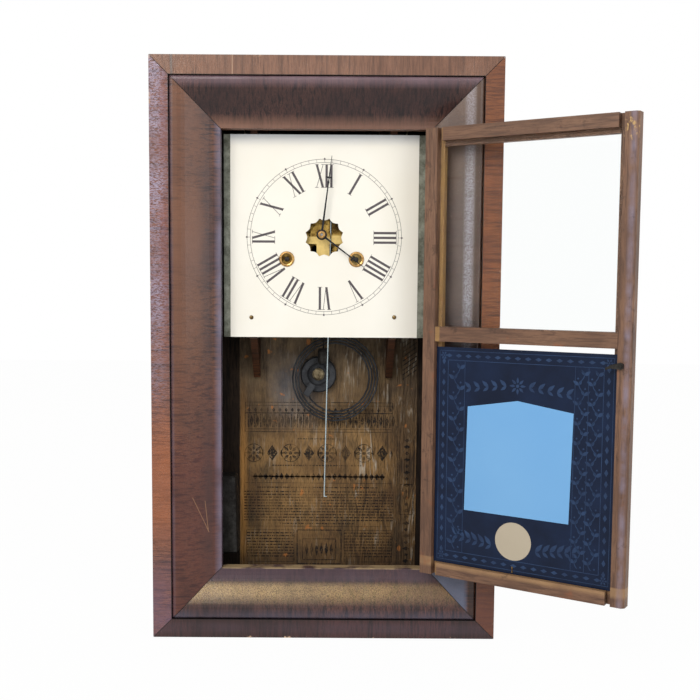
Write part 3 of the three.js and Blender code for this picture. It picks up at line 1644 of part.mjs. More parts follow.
function cordDropX() {
  const { centre: hub, reach } = cordTangent(1);
  return hub[0] + reach;
}

function buildPulley(name, side) {
  const half = pulleyThickness / 2;
  const bore = pulleyAxleRadius + runningClearance;
  const profile = [
    [bore, cordDepth - half],
    [pulleyRimRadius, cordDepth - half],
    [pulleyRimRadius, cordDepth - half + pulleyRimThickness],
    [pulleyGrooveRadius, cordDepth - cordRadius],
    [pulleyGrooveRadius, cordDepth + cordRadius],
    [pulleyRimRadius, cordDepth + half - pulleyRimThickness],
    [pulleyRimRadius, cordDepth + half],
    [bore, cordDepth + half],
    [bore, cordDepth - half],
  ];
  add(name, turned(profile, side * pulleyX, pulleyHeight, 16), finishes.darkWood);
}

function buildBracket(name, side) {
  const x = side * pulleyX;
  const gap = pulleyThickness / 2 + runningClearance;
  const front = cordDepth - gap - bracketSheet;
  const back = cordDepth + gap + bracketSheet;
  const wide = bracketHalfWidth;
  const top = block(x - wide, x + wide, front, back, ceiling - bracketSheet, ceiling);
  const foot = pulleyHeight - cheekHalfWidth;
  const cheeks = [front, cordDepth + gap].map((from) => (
    block(x - cheekHalfWidth, x + cheekHalfWidth, from, from + bracketSheet, foot, ceiling)
  ));
  const axle = rod(pulleyAxleRadius, front - overrun, back + overrun, x, pulleyHeight, 10);
  add(name, join(top, ...cheeks, axle), finishes.iron);
}

// ---------------------------------------------------------------------------------------------
// The whole clock
// ---------------------------------------------------------------------------------------------
buildCase();
buildRails();
buildDoor();
buildDial();
buildPlates();
buildGreatWheel('time_great_wheel', timeWinding, timeSecond, false);
buildGreatWheel('strike_great_wheel', strikeWinding, strikeSecond, true);
buildDrum('time_drum', timeWinding);
buildDrum('strike_drum', strikeWinding);
buildSecond('time_second_wheel', timeSecond, timeWinding, timeThird, false);
buildSecond('strike_pin_wheel', strikeSecond, strikeWinding, strikeThird, true);
buildThird('time_third_wheel', timeThird, timeSecond, escapeArbor);
buildThird('strike_warning_wheel', strikeThird, strikeSecond, flyArbor);
buildEscapement();
buildVerge();
buildPendulum();
buildFly();
buildMotionWork();
buildHands();
buildGong();
printCoilGap();
buildHammer();
for (const [side, word] of [[-1, 'strike'], [1, 'time']]) {
  const bottom = side < 0 ? strikeWeightBottom : timeWeightBottom;
  buildWeight(`${word}_weight`, side, bottom);
  buildCord(`${word}_cord`, side, bottom + weightHeight - overrun);
  buildPulley(`${word}_pulley`, side);
  buildBracket(`${word}_pulley_bracket`, side);
}

export default clock;
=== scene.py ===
import math
import random

import bmesh
import bpy
from mathutils import Matrix, Vector


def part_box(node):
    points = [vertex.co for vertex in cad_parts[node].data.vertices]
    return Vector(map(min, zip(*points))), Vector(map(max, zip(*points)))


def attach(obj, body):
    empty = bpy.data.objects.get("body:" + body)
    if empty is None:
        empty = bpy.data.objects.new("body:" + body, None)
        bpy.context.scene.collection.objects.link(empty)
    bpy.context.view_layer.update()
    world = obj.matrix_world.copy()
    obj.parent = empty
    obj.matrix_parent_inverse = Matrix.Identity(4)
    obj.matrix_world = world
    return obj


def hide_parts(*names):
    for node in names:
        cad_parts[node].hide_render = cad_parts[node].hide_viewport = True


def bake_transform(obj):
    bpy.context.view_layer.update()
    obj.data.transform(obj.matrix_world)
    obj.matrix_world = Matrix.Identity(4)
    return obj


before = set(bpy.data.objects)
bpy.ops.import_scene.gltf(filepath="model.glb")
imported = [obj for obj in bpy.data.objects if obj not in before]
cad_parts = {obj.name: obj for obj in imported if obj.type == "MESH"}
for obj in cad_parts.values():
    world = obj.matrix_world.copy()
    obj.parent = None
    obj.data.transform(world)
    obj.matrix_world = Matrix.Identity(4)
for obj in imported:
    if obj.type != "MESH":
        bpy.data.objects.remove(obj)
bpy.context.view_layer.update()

bl_info = {
    "name": "Ogee Shelf Clock",
    "version": (1, 0, 0),
    "blender": (4, 5, 0),
    "location": "3D View > Sidebar > Clock",
    "description": "Dresses the ogee shelf clock with veneer, dial, glass, label, metalwork and studio",
    "category": "Object",
}

MM = 0.001

# ---- Places taken from the clock's own pieces, in metres ----
CASE_DEPTH = 0.108
FRONT = -CASE_DEPTH / 2
DOOR_ANGLE = math.radians(146.6)
HINGE = Vector((0.119, FRONT + 0.0138, 0.0))
DIAL_CENTRE = (-0.002, 0.462)
HAND_CENTRE = (-0.005, 0.465)
DIAL_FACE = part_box("dial_plate")[0][1]
LABEL_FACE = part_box("label_paper")[0][1]
HALF_WIDTH = 0.197
CASE_HEIGHT = 0.66
QUIRK_INSET = 0.0217
PULLEY_X, PULLEY_Z = 0.119, 0.617
PULLEY_REACH = 0.0143
DRUM_SIDE, DRUM_DROP = 0.0403, 0.028
DRUM_REACH = 0.013
CORD_RADIUS = 1.0 * MM
INK_LIFT = 0.06 * MM
INK_SINK = 0.01 * MM
# The round window on the shut door: in from the hinge axis, and up
DISC_CENTRE = (0.112, 0.1297)
DISC_RADIUS = 0.021
# In millimetres: depths behind the front of the case, and the print's left and right edges
GLASS_FRONT, GLASS_BACK = 22.8, 24.6
CORD_DEPTH = 68
LABEL_SPAN = (-98.4, 83.1)
# The camera: its picture in pixels, its pitch, yaw and roll in degrees, and its place in metres
PHOTO_SIZE = 700
LENS_PIXELS = 1025.738
OPTICAL_CENTRE = (331.047, 371.029)
CAMERA_TURNS = (5.044, 0.032, 0.376)
CAMERA_PLACE = (0.006158, FRONT - 1.156622, 0.412589)
# The tone of the dark lines in the frame: the mitre joints, and the painted shade in the quirk grooves
LINE_DARK = "0d0808"


def depth(mm):
    """Y of a depth in millimetres behind the front face of the case."""
    return FRONT + mm * MM


def srgb(text):
    """Linear colour from a web colour."""
    parts = [int(text[i:i + 2], 16) / 255 for i in (0, 2, 4)]
    return tuple(p / 12.92 if p <= 0.04045 else ((p + 0.055) / 1.055) ** 2.4 for p in parts) + (1.0,)


def opaque(tone):
    """A chosen colour with full alpha."""
    return tuple(tone) + (1.0,)


# ---- Mesh helpers ----
def finish_piece(name, mesh_source, material, body, smooth=False):
    """Makes an object of a bmesh, gives it its material and lets it ride on a body."""
    mesh = bpy.data.meshes.new(name)
    mesh_source.to_mesh(mesh)
    mesh_source.free()
    piece = bpy.data.objects.new(name, mesh)
    bpy.context.scene.collection.objects.link(piece)
    mesh.materials.append(material)
    for polygon in mesh.polygons:
        polygon.use_smooth = smooth
    if body is not None:
        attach(piece, body)
    return piece


def add_prism(target, outline, front, back):
    """Adds a flat prism: an outline of (x, z) points between two Y values."""
    verts = [target.verts.new((x, front, z)) for x, z in outline]
    face = target.faces.new(verts)
    made = bmesh.ops.extrude_face_region(target, geom=[face])
    moved = [item for item in made["geom"] if isinstance(item, bmesh.types.BMVert)]
    bmesh.ops.translate(target, verts=moved, vec=(0, back - front, 0))


def add_stroke(target, start, end, width, front, back):
    """Adds a thin flat stroke between two (x, z) points."""
    a, b = Vector(start), Vector(end)
    along = (b - a).normalized()
    side = Vector((-along.y, along.x)) * width / 2
    add_prism(target, [(p.x, p.y) for p in (a + side, a - side, b - side, b + side)], front, back)


def add_round(target, centre, radius, front, back, sides):
    """Adds a flat disc."""
    x, z = centre
    turns = [math.tau * n / sides for n in range(sides)]
    add_prism(target, [(x + radius * math.cos(a), z + radius * math.sin(a)) for a in turns], front, back)


def add_lozenge(target, centre, width, height, front, back):
    x, z = centre
    outline = [(x - width / 2, z), (x, z - height / 2), (x + width / 2, z), (x, z + height / 2)]
    add_prism(target, outline, front, back)


def add_leaf(target, root, angle, length, width, front, back):
    """Adds a pointed leaf that grows from its root at an angle."""
    along = Vector((math.cos(angle), math.sin(angle)))
    side = Vector((-along.y, along.x))
    upper = ((0.0, 0.0), (0.25, 0.42), (0.5, 0.5), (0.8, 0.25))
    lower = ((1.0, 0.0), (0.8, -0.25), (0.5, -0.5), (0.25, -0.42))
    points = [Vector(root) + along * length * share + side * width * half for share, half in upper + lower]
    add_prism(target, [(p.x, p.y) for p in points], front, back)


def add_rosette(target, centre, radius, petals, front, back):
    """Adds a ring of leaves round a small disc."""
    for n in range(petals):
        angle = math.tau * n / petals
        root = Vector(centre) + Vector((math.cos(angle), math.sin(angle))) * radius * 0.28
        add_leaf(target, root, angle, radius * 0.72, radius * 2.4 / petals, front, back)
    add_round(target, centre, radius * 0.2, front, back, 10)


def add_frame(target, left, right, bottom, top, width, front, back):
    """Adds a ruled rectangle."""
    add_stroke(target, (left, bottom), (right, bottom), width, front, back)
    add_stroke(target, (left, top), (right, top), width, front, back)
    add_stroke(target, (left, bottom), (left, top), width, front, back)
    add_stroke(target, (right, bottom), (right, top), width, front, back)


def add_ring(target, centre, inner, outer, front, back, steps):
    """Adds a flat ring about a front-to-back axis."""
    x, z = centre
    for n in range(steps):
        a, b = (math.tau * n / steps, math.tau * (n + 1) / steps)
        outline = [
            (x + inner * math.cos(a), z + inner * math.sin(a)),
            (x + outer * math.cos(a), z + outer * math.sin(a)),
            (x + outer * math.cos(b), z + outer * math.sin(b)),
            (x + inner * math.cos(b), z + inner * math.sin(b)),
        ]
        add_prism(target, outline, front, back)


def add_turned(target, profile, x, z, steps):
    """Adds a turned piece about a front-to-back axis; profile holds (radius, y) pairs in metres."""
    verts = [target.verts.new((x + radius, y, z)) for radius, y in profile]
    edges = [target.edges.new(pair) for pair in zip(verts, verts[1:])]
    bmesh.ops.spin(
        target,
        geom=verts + edges,
        cent=(x, 0, z),
        axis=(0, 1, 0),
        angle=math.tau,
        steps=steps,
        use_merge=True,
    )


def face_outward(source):
    """Turns the faces of closed shapes outward."""
    bmesh.ops.recalc_face_normals(source, faces=source.faces)


def close_turned(source):
    """Merges the seam and poles of turned pieces and turns their faces outward."""
    bmesh.ops.remove_doubles(source, verts=source.verts, dist=1e-5)
    face_outward(source)


def add_tube(target, points, radius):
    """Adds a closed eight-sided tube through points."""
    rings = []
    last = len(points) - 1
    for n, point in enumerate(points):
        ahead = (points[min(last, n + 1)] - points[max(0, n - 1)]).normalized()
        turn = ahead.to_track_quat("Z", "Y").to_matrix().to_4x4()
        capped = n in (0, last)
        ring = bmesh.ops.create_circle(target, cap_ends=capped, segments=8, radius=radius)["verts"]
        bmesh.ops.transform(target, matrix=Matrix.Translation(point) @ turn, verts=ring)
        rings.append(ring)
    for a, b in zip(rings, rings[1:]):
        edges = {edge for ring in (a, b) for vert in ring for edge in vert.link_edges}
        closed = [edge for edge in edges if any(all(v in ring for v in edge.verts) for ring in (a, b))]
        bmesh.ops.bridge_loops(target, edges=closed)


def swing_door(target):
    """Turns a mesh drawn for the shut door to where the door stands open."""
    turn = Matrix.Translation(HINGE) @ Matrix.Rotation(DOOR_ANGLE, 4, "Z") @ Matrix.Translation(-HINGE)
    bmesh.ops.transform(target, matrix=turn, verts=target.verts)


# ---- Node helpers ----
class Tree:
    """Short words for building a node tree."""

    def __init__(self, nodes_owner):
        self.tree = nodes_owner
        self.nodes = nodes_owner.nodes
        self.links = nodes_owner.links

    def node(self, kind, **values):
        made = self.nodes.new(kind)
        for key, value in values.items():
            setattr(made, key, value)
        return made

    def put(self, socket, value):
        """Links a socket or sets a plain value."""
        if isinstance(value, bpy.types.NodeSocket):
            self.links.new(value, socket)
        elif value is not None:
            socket.default_value = value

    def maths(self, operation, a, b=None, clamp=False):
        made = self.node("ShaderNodeMath", operation=operation, use_clamp=clamp)
        self.put(made.inputs[0], a)
        if b is not None:
            self.put(made.inputs[1], b)
        return made.outputs[0]

    def mix(self, factor, a, b):
        made = self.node("ShaderNodeMix", data_type="RGBA")
        self.put(made.inputs["Factor"], factor)
        self.put(made.inputs["A"], a)
        self.put(made.inputs["B"], b)
        return made.outputs["Result"]

    def fade(self, value, low, high, out_low=0.0, out_high=1.0):
        made = self.node("ShaderNodeMapRange", clamp=True)
        self.put(made.inputs["Value"], value)
        self.put(made.inputs["From Min"], low)
        self.put(made.inputs["From Max"], high)
        self.put(made.inputs["To Min"], out_low)
        self.put(made.inputs["To Max"], out_high)
        return made.outputs["Result"]

    def lane(self, value, start, full, still, end):
        """Rises from start to full and falls from still to end."""
        return self.maths("MULTIPLY", self.fade(value, start, full), self.fade(value, still, end, 1.0, 0.0))

    def line(self, value, place, inner, outer, amount=1.0):
        """A thin line where value is near a place."""
        away = self.maths("ABSOLUTE", self.maths("SUBTRACT", value, place))
        return self.fade(away, inner, outer, amount, 0.0)

    def times(self, *factors):
        product = factors[0]
        for factor in factors[1:]:
            product = self.maths("MULTIPLY", product, factor)
        return product

    def wash(self, colour, tone, mask, where=None, patch=14.0, least=0.35):
        """Lays a tone over a colour inside a mask, in patches where a place is given."""
        if where is not None:
            patches = self.fade(self.noise(where, patch, 4.0, 0.6), 0.32, 0.66, least, 1.0)
            mask = self.maths("MULTIPLY", mask, patches)
        return self.mix(mask, colour, srgb(tone))

    def scratch(self, x, z, start, end, width):
        """A mask that is 1 along a line between two (x, z) points."""
        run = Vector(end) - Vector(start)
        ux, uz = run.normalized()
        dx, dz = self.maths("SUBTRACT", x, start[0]), self.maths("SUBTRACT", z, start[1])
        along = self.maths("ADD", self.maths("MULTIPLY", dx, ux), self.maths("MULTIPLY", dz, uz))
        across = self.maths("SUBTRACT", self.maths("MULTIPLY", dx, uz), self.maths("MULTIPLY", dz, ux))
        on = self.fade(self.maths("ABSOLUTE", across), width * 0.4, width, 1.0, 0.0)
        return self.maths("MULTIPLY", on, self.lane(along, 0.0, width, run.length - width, run.length))

    def noise(self, vector, scale, detail, roughness=0.5, distortion=0.0):
        made = self.node("ShaderNodeTexNoise", noise_dimensions="3D")
        self.put(made.inputs["Vector"], vector)
        self.put(made.inputs["Scale"], scale)
        made.inputs["Detail"].default_value = detail
        made.inputs["Roughness"].default_value = roughness
        made.inputs["Distortion"].default_value = distortion
        return made.outputs["Fac"]

    def scaled(self, vector, scale, rotation=(0, 0, 0), location=(0, 0, 0)):
        made = self.node("ShaderNodeMapping", vector_type="POINT")
        self.put(made.inputs["Vector"], vector)
        made.inputs["Location"].default_value = location
        made.inputs["Rotation"].default_value = rotation
        made.inputs["Scale"].default_value = scale
        return made.outputs["Vector"]

    def split(self, vector):
        made = self.node("ShaderNodeSeparateXYZ")
        self.put(made.inputs[0], vector)
        return made.outputs

    def group(self, kind, **inputs):
        made = self.node("ShaderNodeGroup")
        made.node_tree = kind
        for name, value in inputs.items():
            self.put(made.inputs[name], value)
        return made.outputs


def new_group(name, inputs, outputs):
    """A shader node group with named sockets; returns the tree helper, its inputs and its output node."""
    tree = bpy.data.node_groups.new(name, "ShaderNodeTree")
    kinds = {"color": "NodeSocketColor", "value": "NodeSocketFloat", "vector": "NodeSocketVector"}
    for label, kind, default in inputs:
        socket = tree.interface.new_socket(name=label, in_out="INPUT", socket_type=kinds[kind])
        if default is not None:
            socket.default_value = default
    for label, kind in outputs:
        tree.interface.new_socket(name=label, in_out="OUTPUT", socket_type=kinds[kind])
    helper = Tree(tree)
    source = helper.node("NodeGroupInput")
    result = helper.node("NodeGroupOutput")
    return helper, source.outputs, result.inputs


def veneer_group():
    """Old varnished veneer: fine pores and crackle across the board, with slow changes of tone."""
    t, given, result = new_group(
        "Aged veneer",
        [
            ("Grain", "vector", None),
            ("Place", "vector", None),
            ("Light", "color", srgb("8c5a3c")),
            ("Middle", "color", srgb("6b4030")),
            ("Dark", "color", srgb("3a2420")),
            ("Crackle", "value", 0.5),
        ],
        [("Color", "color"), ("Roughness", "value"), ("Height", "value")],
    )
    broad = t.noise(given["Place"], 11.0, 4.0, 0.6)
    figure = t.noise(given["Grain"], 1.0, 6.0, 0.66, 0.5)
    pores = t.noise(given["Grain"], 2.3, 4.0, 0.7)
    crackle = t.node("ShaderNodeTexVoronoi", feature="DISTANCE_TO_EDGE")
    t.put(crackle.inputs["Vector"], given["Grain"])
    t.put(crackle.inputs["Scale"], 2.6)
    crack = t.fade(crackle.outputs["Distance"], 0.02, 0.16, 1.0, 0.0)
    crack = t.times(crack, t.fade(broad, 0.4, 0.58), given["Crackle"])
    tone = t.mix(t.fade(figure, 0.37, 0.6), given["Dark"], given["Middle"])
    tone = t.mix(t.times(t.fade(broad, 0.42, 0.64), t.fade(figure, 0.4, 0.5)), tone, given["Light"])
    tone = t.mix(t.fade(pores, 0.5, 0.62, 0.0, 0.6), tone, given["Dark"])
    tone = t.mix(t.times(crack, 0.7), tone, given["Dark"])
    t.put(result["Color"], tone)
    t.put(result["Roughness"], t.fade(t.maths("ADD", pores, crack), 0.3, 1.4))
    hollows = t.maths("ADD", crack, t.times(pores, 0.7))
    t.put(result["Height"], t.maths("SUBTRACT", t.times(figure, 0.5), hollows))
    return t.tree


def patina_group():
    """Tarnish and dust on metal: a spotted mix of two tones with a roughness that follows it."""
    t, given, result = new_group(
        "Metal patina",
        [
            ("Place", "vector", None),
            ("Clean", "color", srgb("d8b060")),
            ("Tarnish", "color", srgb("6a4a22")),
            ("Amount", "value", 0.5),
            ("Scale", "value", 180.0),
        ],
        [("Color", "color"), ("Roughness", "value"), ("Height", "value")],
    )
    broad = t.noise(given["Place"], given["Scale"], 4.0, 0.65)
    fine = t.noise(given["Place"], t.times(given["Scale"], 7.0), 2.0, 0.5)
    mask = t.fade(t.maths("ADD", broad, t.times(fine, 0.25)), 0.45, 0.85)
    mask = t.maths("MULTIPLY", mask, t.maths("MULTIPLY", given["Amount"], 2.0), clamp=True)
    t.put(result["Color"], t.mix(mask, given["Clean"], given["Tarnish"]))
    t.put(result["Roughness"], mask)
    t.put(result["Height"], fine)
    return t.tree


def paper_group():
    """Old label paper: foxed and darkened, with upright creases that carry painted highlights on their ridges
    and painted shade in their hollows.
    """
    t, given, result = new_group(
        "Aged paper",
        [("Place", "vector", None)],
        [("Color", "color"), ("Crease", "value"), ("Height", "value")],
    )
    where = given["Place"]
    x, _, z = t.split(where)
    broad = t.noise(where, 16.0, 5.0, 0.65)
    blotch = t.noise(t.scaled(where, (60, 60, 30)), 1.0, 4.0, 0.7)
    fibre = t.noise(t.scaled(where, (1100, 1100, 160)), 1.0, 2.0)
    crease = t.noise(t.scaled(where, (170, 170, 20)), 1.0, 3.0, 0.55, 1.4)
    colour = t.mix(t.fade(broad, 0.34, 0.66), srgb("5f4730"), srgb("9a784c"))
    colour = t.wash(colour, "50422f", t.fade(blotch, 0.5, 0.68, 0.0, 0.75))
    colour = t.wash(colour, "372c22", t.fade(fibre, 0.48, 0.7, 0.0, 0.5))
    upper = t.fade(z, 0.2, 0.32, 0.0, 0.8)
    colour = t.mix(upper, colour, t.mix(t.fade(blotch, 0.4, 0.66), srgb("6b5d4a"), srgb("453a30")))
    tan = t.times(t.lane(x, -0.1052, -0.104, -0.1, -0.094), t.fade(z, 0.19, 0.3, 0.7, 0.0))
    colour = t.wash(colour, "c08a4a", tan)
    colour = t.wash(colour, "3a2e24", t.fade(z, 0.085, 0.06, 0.0, 0.75), where, 30.0)
    colour = t.wash(colour, "40342a", t.times(t.fade(x, 0.078, 0.092), 0.6), where, 40.0)
    # Painted highlight on the ridges of the creases.
    crease_highlight = t.times(t.fade(crease, 0.58, 0.66), t.fade(broad, 0.42, 0.58), t.fade(x, -0.02, 0.07, 0.3, 1.0))
    colour = t.wash(colour, "b9b0a2", t.times(crease_highlight, 0.75))
    # Painted shade in the hollows of the creases.
    dark = t.times(t.fade(crease, 0.44, 0.38), t.fade(x, -0.02, 0.07, 0.3, 1.0), 0.6)
    colour = t.wash(colour, "2a221c", dark)
    cool = t.times(t.lane(z, 0.225, 0.25, 0.3, 0.33), t.lane(x, -0.075, -0.055, -0.02, 0.0), 0.6)
    colour = t.wash(colour, "58606c", cool, where, 30.0)
    foxing = t.noise(where, 80.0, 2.0, 0.5)
    colour = t.wash(colour, "b8743c", t.fade(foxing, 0.7, 0.75, 0.0, 0.7))
    t.put(result["Color"], colour)
    t.put(result["Crease"], crease_highlight)
    t.put(result["Height"], t.maths("ADD", crease, t.times(fibre, 0.2)))
    return t.tree


GROUPS = {}


def shared(name):
    """The node groups are built once and placed in each material."""
    if name not in GROUPS:
        GROUPS[name] = {"veneer": veneer_group, "patina": patina_group, "paper": paper_group}[name]()
    return GROUPS[name]


def new_material(name):
    material = bpy.data.materials.new(name)
    material.use_nodes = True
    t = Tree(material.node_tree)
    shader = material.node_tree.nodes["Principled BSDF"]
    where = t.node("ShaderNodeTexCoord").outputs["Object"]
    return material, t, shader, where


def bump(t, shader, height, distance, strength):
    made = t.node("ShaderNodeBump")
    made.inputs["Distance"].default_value = distance
    made.inputs["Strength"].default_value = strength
    t.put(made.inputs["Height"], height)
    t.links.new(made.outputs["Normal"], shader.inputs["Normal"])


def set_gloss(shader, specular, coat=0.0, coat_roughness=0.1):
    shader.inputs["Specular IOR Level"].default_value = specular
    shader.inputs["Coat Weight"].default_value = coat
    shader.inputs["Coat Roughness"].default_value = coat_roughness


def veneer(name, across, tones, gloss, crackle, turn=0.0, paint=None, specular=0.3, coat=0.2):
    """Varnished veneer whose grain runs along the axis named in across."""
    material, t, shader, where = new_material(name)
    if turn:
        turned = Matrix.Rotation(turn, 3, "Z") @ HINGE
        where = t.scaled(where, (1, 1, 1), rotation=(0, 0, turn), location=HINGE - turned)
    long_way, short_way = 26.0, 330.0
    scale = {
        "x": (long_way, 160.0, short_way),
        "z": (short_way, 160.0, long_way),
        "y": (160.0, long_way, short_way),
    }
    light, middle, dark = (srgb(tone) for tone in tones)
    made = t.group(
        shared("veneer"),
        Grain=t.scaled(where, scale[across]),
        Place=where,
        Light=light,
        Middle=middle,
        Dark=dark,
        Crackle=crackle,
    )
    colour = made["Color"]
    if paint:
        colour = paint(t, where, colour)
    t.put(shader.inputs["Base Color"], colour)
    low, high = gloss
    t.put(shader.inputs["Roughness"], t.fade(made["Roughness"], 0, 1, low, high))
    set_gloss(shader, specular, coat, 0.16)
    bump(t, shader, made["Height"], 0.0003, 0.6)
    return material


def metal(name, clean, tarnish, amount, roughness, metallic=1.0, scale=180.0, height=0.00008, paint=None):
    material, t, shader, where = new_material(name)
    made = t.group(
        shared("patina"),
        Place=where,
        Clean=srgb(clean),
        Tarnish=srgb(tarnish),
        Amount=amount,
        Scale=scale,
    )
    colour = made["Color"]
    if paint:
        colour = paint(t, where, colour)
    t.put(shader.inputs["Base Color"], colour)
    t.put(shader.inputs["Roughness"], t.fade(made["Roughness"], 0, 1, *roughness))
    shader.inputs["Metallic"].default_value = metallic
    bump(t, shader, made["Height"], height, 0.5)
    return material


def dress(material, *nodes):
    """Gives CAD nodes their material."""
    for name in nodes:
        materials = bpy.data.objects[name].data.materials
        materials.clear()
        materials.append(material)


# ---- Properties ----
def colour_property(name, description, default):
    return bpy.props.FloatVectorProperty(
        name=name,
        description=description,
        default=default[:3],
        subtype="COLOR",
        size=3,
        min=0.0,
        max=1.0,
    )


def length_property(name, description, default):
    return bpy.props.FloatProperty(
        name=name,
        description=description,
        default=default,
        unit="LENGTH",
        subtype="DISTANCE",
    )


class ClockDialSettings(bpy.types.PropertyGroup):
    ring_outer: length_property("Minute ring", "Outer radius of the minute ring", 0.0895)
    ring_inner: length_property("Minute ring inside", "Inner radius of the minute ring", 0.0857)
    numeral_outer: length_property("Numeral tops", "Radius of the numerals' outer ends", 0.0832)
    numeral_inner: length_property("Numeral feet", "Radius of the numerals' inner ends", 0.0572)
    thick_stroke: length_property("Thick stroke", "Width of a numeral's thick stroke", 0.0027)
    thin_stroke: length_property("Thin stroke", "Width of a numeral's thin stroke", 0.0006)
    ink: colour_property("Ink", "Colour of the numerals and the minute ring", srgb("4a4347"))
    paint: colour_property("Paint", "Colour of the dial's paint", srgb("edeae1"))


class ClockDoorSettings(bpy.types.PropertyGroup):
    pane: colour_property("Window pane", "Colour of the plain window in the lower glass", srgb("6ea4d6"))
    disc: colour_property("Round window", "Colour of the round window in the lower glass", srgb("ada18d"))
    ground: colour_property("Painted glass", "Ground colour of the lower glass", srgb("0e182d"))
    raised: colour_property("Raised ornament", "Colour of the raised ornament", srgb("2b4163"))


class ClockStageSettings(bpy.types.PropertyGroup):
    lamp_power: bpy.props.FloatProperty(
        name="Lamp power",
        description="Power of the main lamp",
        default=26.0,
        unit="POWER",
    )
    sky: bpy.props.FloatProperty(
        name="Room light",
        description="Strength of the even light in the room",
        default=0.62,
    )


# ---- Case ----
def frame_lines(t, where):
    """How far in from the case's edge a place lies, and masks of the dark lines (mitre joints and painted
    shade in the quirk) and of the front.
    """
    x, y, z = t.split(where)
    aside = t.maths("SUBTRACT", HALF_WIDTH, t.maths("ABSOLUTE", x))
    level = t.maths("MINIMUM", z, t.maths("SUBTRACT", CASE_HEIGHT, z))
    inward = t.maths("MINIMUM", aside, level)
    mitre = t.line(aside, level, 0.0003, 0.0009)
    # Painted shade: a dark line in the quirk groove beside the band, on the front faces only.
    quirk_shade = t.line(inward, QUIRK_INSET, 0.0004, 0.0012)
    front = t.fade(y, -0.0525, -0.05, 1.0, 0.0)
    return inward, t.maths("MAXIMUM", t.times(mitre, 0.7), t.times(quirk_shade, front, 0.9)), front


def chips_and_quirk_shade(t, where, colour, amount):
    """Dark mitres, painted shade in the quirk, and pale chips along the outer edge of a band."""
    inward, lines, front = frame_lines(t, where)
    chips = t.fade(t.noise(where, 60.0, 4.0, 0.7), 0.6, 0.64)
    edge = t.fade(inward, 0.0008, 0.0026, 1.0, 0.0)
    colour = t.wash(colour, "c9a98a", t.times(chips, edge, front, amount))
    return t.wash(colour, LINE_DARK, lines)


def left_band(t, where, colour):
    x, y, z = t.split(where)
    checks = t.fade(t.noise(t.scaled(where, (320, 320, 850)), 1.0, 4.0, 0.7), 0.42, 0.56)
    # Painted reflection: a lavender sheen on the upper front of the band, broken by the crackle.
    painted_sheen = t.times(t.fade(z, 0.24, 0.42), t.fade(x, -0.178, -0.186, 0.35, 1.0), checks)
    painted_sheen = t.times(painted_sheen, t.fade(y, -0.0525, -0.05, 1.0, 0.15))
    colour = t.wash(colour, "a59ab0", painted_sheen, where, 26.0, 0.3)
    inner = t.times(t.lane(x, -0.188, -0.183, -0.178, -0.176), t.fade(z, 0.3, 0.42, 0.0, 0.4))
    colour = t.wash(colour, "7b4440", inner, where)
    colour = t.wash(colour, "a86238", t.times(t.lane(z, 0.1, 0.14, 0.2, 0.28), 0.6), where, 12.0)
    colour = t.wash(colour, "6b5266", t.times(t.fade(z, 0.1, 0.05), 0.8), where, 30.0)
    return chips_and_quirk_shade(t, where, colour, 0.4)


def right_band(t, where, colour):
    z = t.split(where)["Z"]
    colour = t.wash(colour, "59332a", t.times(t.fade(z, 0.3, 0.1), 0.8), where, 14.0)
    return chips_and_quirk_shade(t, where, colour, 0.5)


def top_band(t, where, colour):
    x = t.split(where)["X"]
    joint = t.line(x, -0.1044, 0.0002, 0.0007, 0.75)
    colour = t.wash(colour, "b09178", joint)
    patch = t.line(x, -0.1718, 0.0008, 0.0016, 0.7)
    colour = t.wash(colour, "6b625e", patch)
    return chips_and_quirk_shade(t, where, colour, 0.25)


def bottom_band(t, where, colour):
    z = t.split(where)["Z"]
    colour = t.wash(colour, "54444f", t.times(t.lane(z, 0.002, 0.008, 0.014, 0.02), 0.35), where, 18.0)
    return chips_and_quirk_shade(t, where, colour, 1.0)


def left_ogee(t, where, colour):
    x, _, z = t.split(where)
    inward, lines, _ = frame_lines(t, where)
    tan = t.times(t.lane(inward, 0.023, 0.027, 0.054, 0.066), t.fade(z, 0.2, 0.42), 0.8)
    colour = t.wash(colour, "75503d", tan, where, 9.0)
    colour = t.wash(colour, "5e2f28", t.times(t.fade(z, 0.34, 0.2), 0.65), where, 22.0)
    # Painted shade in a dark lane near the opening, and painted grey-lavender reflections on the outer
    # shoulder and along the inner edge.
    colour = t.wash(colour, "38292a", t.times(t.lane(inward, 0.05, 0.062, 0.066, 0.07), 0.5), where, 8.0)
    colour = t.wash(colour, "6b6272", t.fade(inward, 0.0222, 0.027, 0.6, 0.0), where, 30.0, 0.4)
    colour = t.wash(colour, "77748a", t.fade(inward, 0.069, 0.0755, 0.0, 0.75), where, 30.0, 0.4)
    for start, end in (((-0.1515, 0.163), (-0.1335, 0.12)), ((-0.138, 0.158), (-0.1345, 0.122))):
        colour = t.wash(colour, "a37a58", t.times(t.scratch(x, z, start, end, 0.0005), 0.55))
    return t.wash(colour, LINE_DARK, lines)


